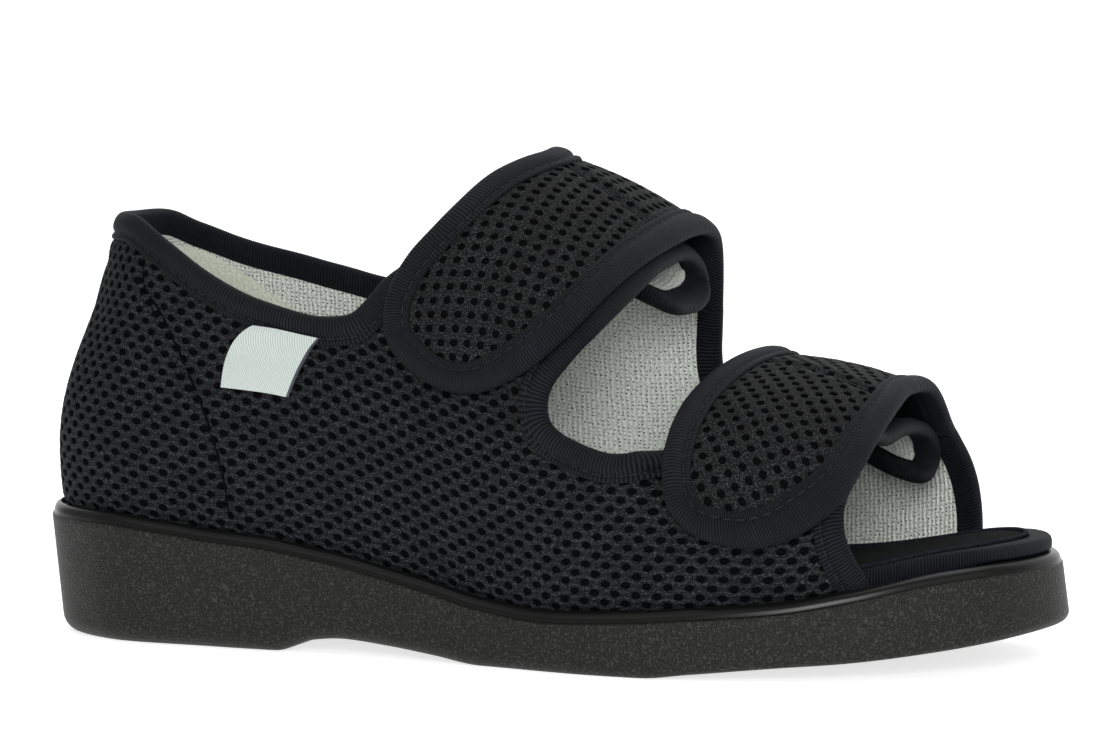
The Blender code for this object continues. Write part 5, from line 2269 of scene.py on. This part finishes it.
@dataclass
class Studio:
    """Camera, lights and white paper."""

    azimuth: float = 21.199
    elevation: float = 5.689
    roll: float = -0.777
    focal: float = 6044.359
    distance: float = 1.5
    target: tuple[float, float, float] = (0.134647, 0.0, 0.069332)
    depth: float = 1.2
    sweep: float = 0.9
    reach: float = 4.0
    photo_width: int = 1100
    sensor: float = 36.0
    world: float = 0.34

    def camera(self, maker: Maker) -> None:
        """Set the camera at the photograph's angle.

        Args:
            maker: makes the objects.
        """
        az, el, roll = (math.radians(v) for v in (self.azimuth, self.elevation, self.roll))
        back = Vector((math.sin(az) * math.cos(el), -math.cos(az) * math.cos(el), math.sin(el)))
        right = Vector((math.cos(az), math.sin(az), 0.0))
        up = back.cross(right)
        side = right * math.cos(roll) + up * math.sin(roll)
        top = up * math.cos(roll) - right * math.sin(roll)
        data = bpy.data.cameras.new("camera")
        data.sensor_fit = "HORIZONTAL"
        data.sensor_width = self.sensor
        data.lens = self.focal * self.sensor / self.photo_width
        data.clip_end = 50.0
        item = linked("camera", data)
        place = Vector(self.target) - Vector(maker.middle) + back * self.distance
        rows = [[side[k], top[k], back[k], place[k]] for k in range(3)]
        item.matrix_world = Matrix(rows + [[0.0, 0.0, 0.0, 1.0]])
        bpy.context.scene.camera = item

    def light(self, name: str, place: Sequence[float], size: float, power: float) -> None:
        """Add a square soft light that faces the shoe.

        Args:
            name: the light's name.
            place: where it hangs.
            size: the length of its side.
            power: its power in watts.
        """
        data = bpy.data.lights.new(name, "AREA")
        data.shape = "SQUARE"
        data.size = size
        data.energy = power
        item = linked(name, data)
        item.location = place
        aim = Vector((0.0, 0.0, 0.04)) - Vector(place)
        item.rotation_euler = aim.to_track_quat("-Z", "Y").to_euler()

    def paper(self, maker: Maker) -> Any:
        """A sheet of paper that lies under the shoe and curves up behind it.

        Args:
            maker: makes the objects.

        Returns:
            The paper.
        """
        turn = np.linspace(0, math.pi / 2, 30)
        back, rise = self.sweep * np.sin(turn), self.sweep * (1 - np.cos(turn))
        curve = np.column_stack([self.depth + back, rise])
        path = np.vstack([[-self.reach, 0.0], curve, [self.depth + self.sweep, self.reach]])
        xs = np.linspace(-self.reach, self.reach, 9)
        points = np.array([(x, y, z) for y, z in path for x in xs]) + maker.middle
        item = maker.mesh("paper", points, grid_faces(len(path), len(xs)), Finish.PAPER)
        item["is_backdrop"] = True
        return item

    def make(self, maker: Maker) -> None:
        """Set the whole studio.

        Args:
            maker: makes the objects.
        """
        self.camera(maker)
        self.paper(maker)
        world = bpy.data.worlds.new("studio")
        bpy.context.scene.world = world
        world.use_nodes = True
        background = world.node_tree.nodes["Background"]
        background.inputs["Color"].default_value = (1.0, 1.0, 1.0, 1.0)
        background.inputs["Strength"].default_value = self.world
        bpy.context.scene.view_settings.view_transform = "Standard"
        self.light("key", (-0.7, -1.1, 1.3), 0.9, 2.0)
        self.light("front", (0.52, -1.36, 0.50), 0.6, 16.0)
        self.light("fill", (1.3, -0.6, 0.7), 1.0, 2.0)
        self.light("top", (0.1, 0.2, 1.6), 1.2, 8.0)


INSTEP_EDGE: Rows = (
    # along, over in millimetres
    (0.405, -30.0), (0.430, -22.0), (0.458, -13.0), (0.478, -4.0), (0.482, 4.0), (0.474, 13.0),
    (0.460, 22.5), (0.446, 31.5), (0.429, 39.2), (0.411, 46.0), (0.398, 53.0), (0.393, 60.0),
    (0.399, 67.0), (0.416, 72.4), (0.442, 77.1), (0.468, 79.2), (0.493, 78.8), (0.521, 74.9),
    (0.552, 67.9), (0.580, 58.4), (0.603, 44.5), (0.617, 31.0), (0.626, 16.0), (0.629, 2.0),
    (0.631, -12.0), (0.631, -22.0), (0.629, -30.0),
)
TOE_EDGE: Rows = (
    (0.691, -25.0), (0.692, -14.0), (0.691, -4.0), (0.688, 6.0), (0.683, 18.0), (0.677, 30.0),
    (0.672, 41.0), (0.671, 50.0), (0.674, 60.0), (0.685, 68.0), (0.705, 71.8), (0.734, 72.0),
    (0.760, 69.9), (0.786, 65.4), (0.810, 58.2), (0.833, 49.0), (0.846, 38.0), (0.852, 28.0),
    (0.854, 16.0), (0.851, 4.0), (0.853, -7.0), (0.857, -16.0), (0.861, -25.0),
)
INSTEP_HOOK: Rows = ((0.500, 6.0), (0.525, 8.5), (0.560, 12.0), (0.590, 15.0), (0.604, 16.0))
TOE_HOOK: Rows = ((0.705, 10.0), (0.735, 10.5), (0.770, 11.5), (0.800, 13.0), (0.828, 14.5))


def dress(pieces: Sequence[Any], slot: str, *nodes: str) -> None:
    """Let pieces ride on the part and stand for nodes.

    Args:
        pieces: the finished pieces.
        slot: the record's material slot; not used.
        nodes: the nodes that the first piece replaces.
    """
    for piece in pieces:
        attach(piece, "root")
        LOG.info("%s: %d faces", piece.name, len(piece.data.polygons))
    if nodes:
        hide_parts(*nodes)


def corners(box: Any) -> list[list[float]]:
    """A box as plain lists."""
    return [[float(v) for v in corner] for corner in box]


def main() -> None:
    """Build the sandal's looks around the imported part."""
    logging.basicConfig(level=logging.INFO, format="%(message)s")
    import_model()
    cad = corners(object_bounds())
    sole_form = SoleForm()
    foot = FootForm(sole_form)
    maker = Maker(sole_form.middle(), Wardrobe())
    Studio().make(maker)
    dress([Sole(sole_form).make(maker)], "outsole", "outsole")
    dress(Footbed(sole_form).make(maker), "insole", "insole")
    upper = Upper(foot)
    dress(upper.make(maker) + [upper.heel_patch(maker)], "upper", "upper")
    instep = Strap(
        name="instep_strap",
        form=foot,
        settle=INSTEP_SETTLE,
        sections=foot.sections[: foot.instep_rows],
        edge=INSTEP_EDGE,
        hook=INSTEP_HOOK,
        row=(3.60, 0.05),
        column=(-0.20, 3.28),
    )
    dress(instep.make(maker), "strap", "instep_strap")
    toe = Strap(
        name="toe_strap",
        form=foot,
        settle=TOE_SETTLE,
        sections=foot.sections[foot.instep_rows :],
        edge=TOE_EDGE,
        hook=TOE_HOOK,
        row=(2.96, -2.51),
        column=(1.98, 2.31),
    )
    dress(toe.make(maker), "strap", "toe_strap")
    dress([Label(upper.sheet).make(maker)], "label", "label")
    {"cad": cad, "visual": corners(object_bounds())}


if __name__ == "__main__":
    main()
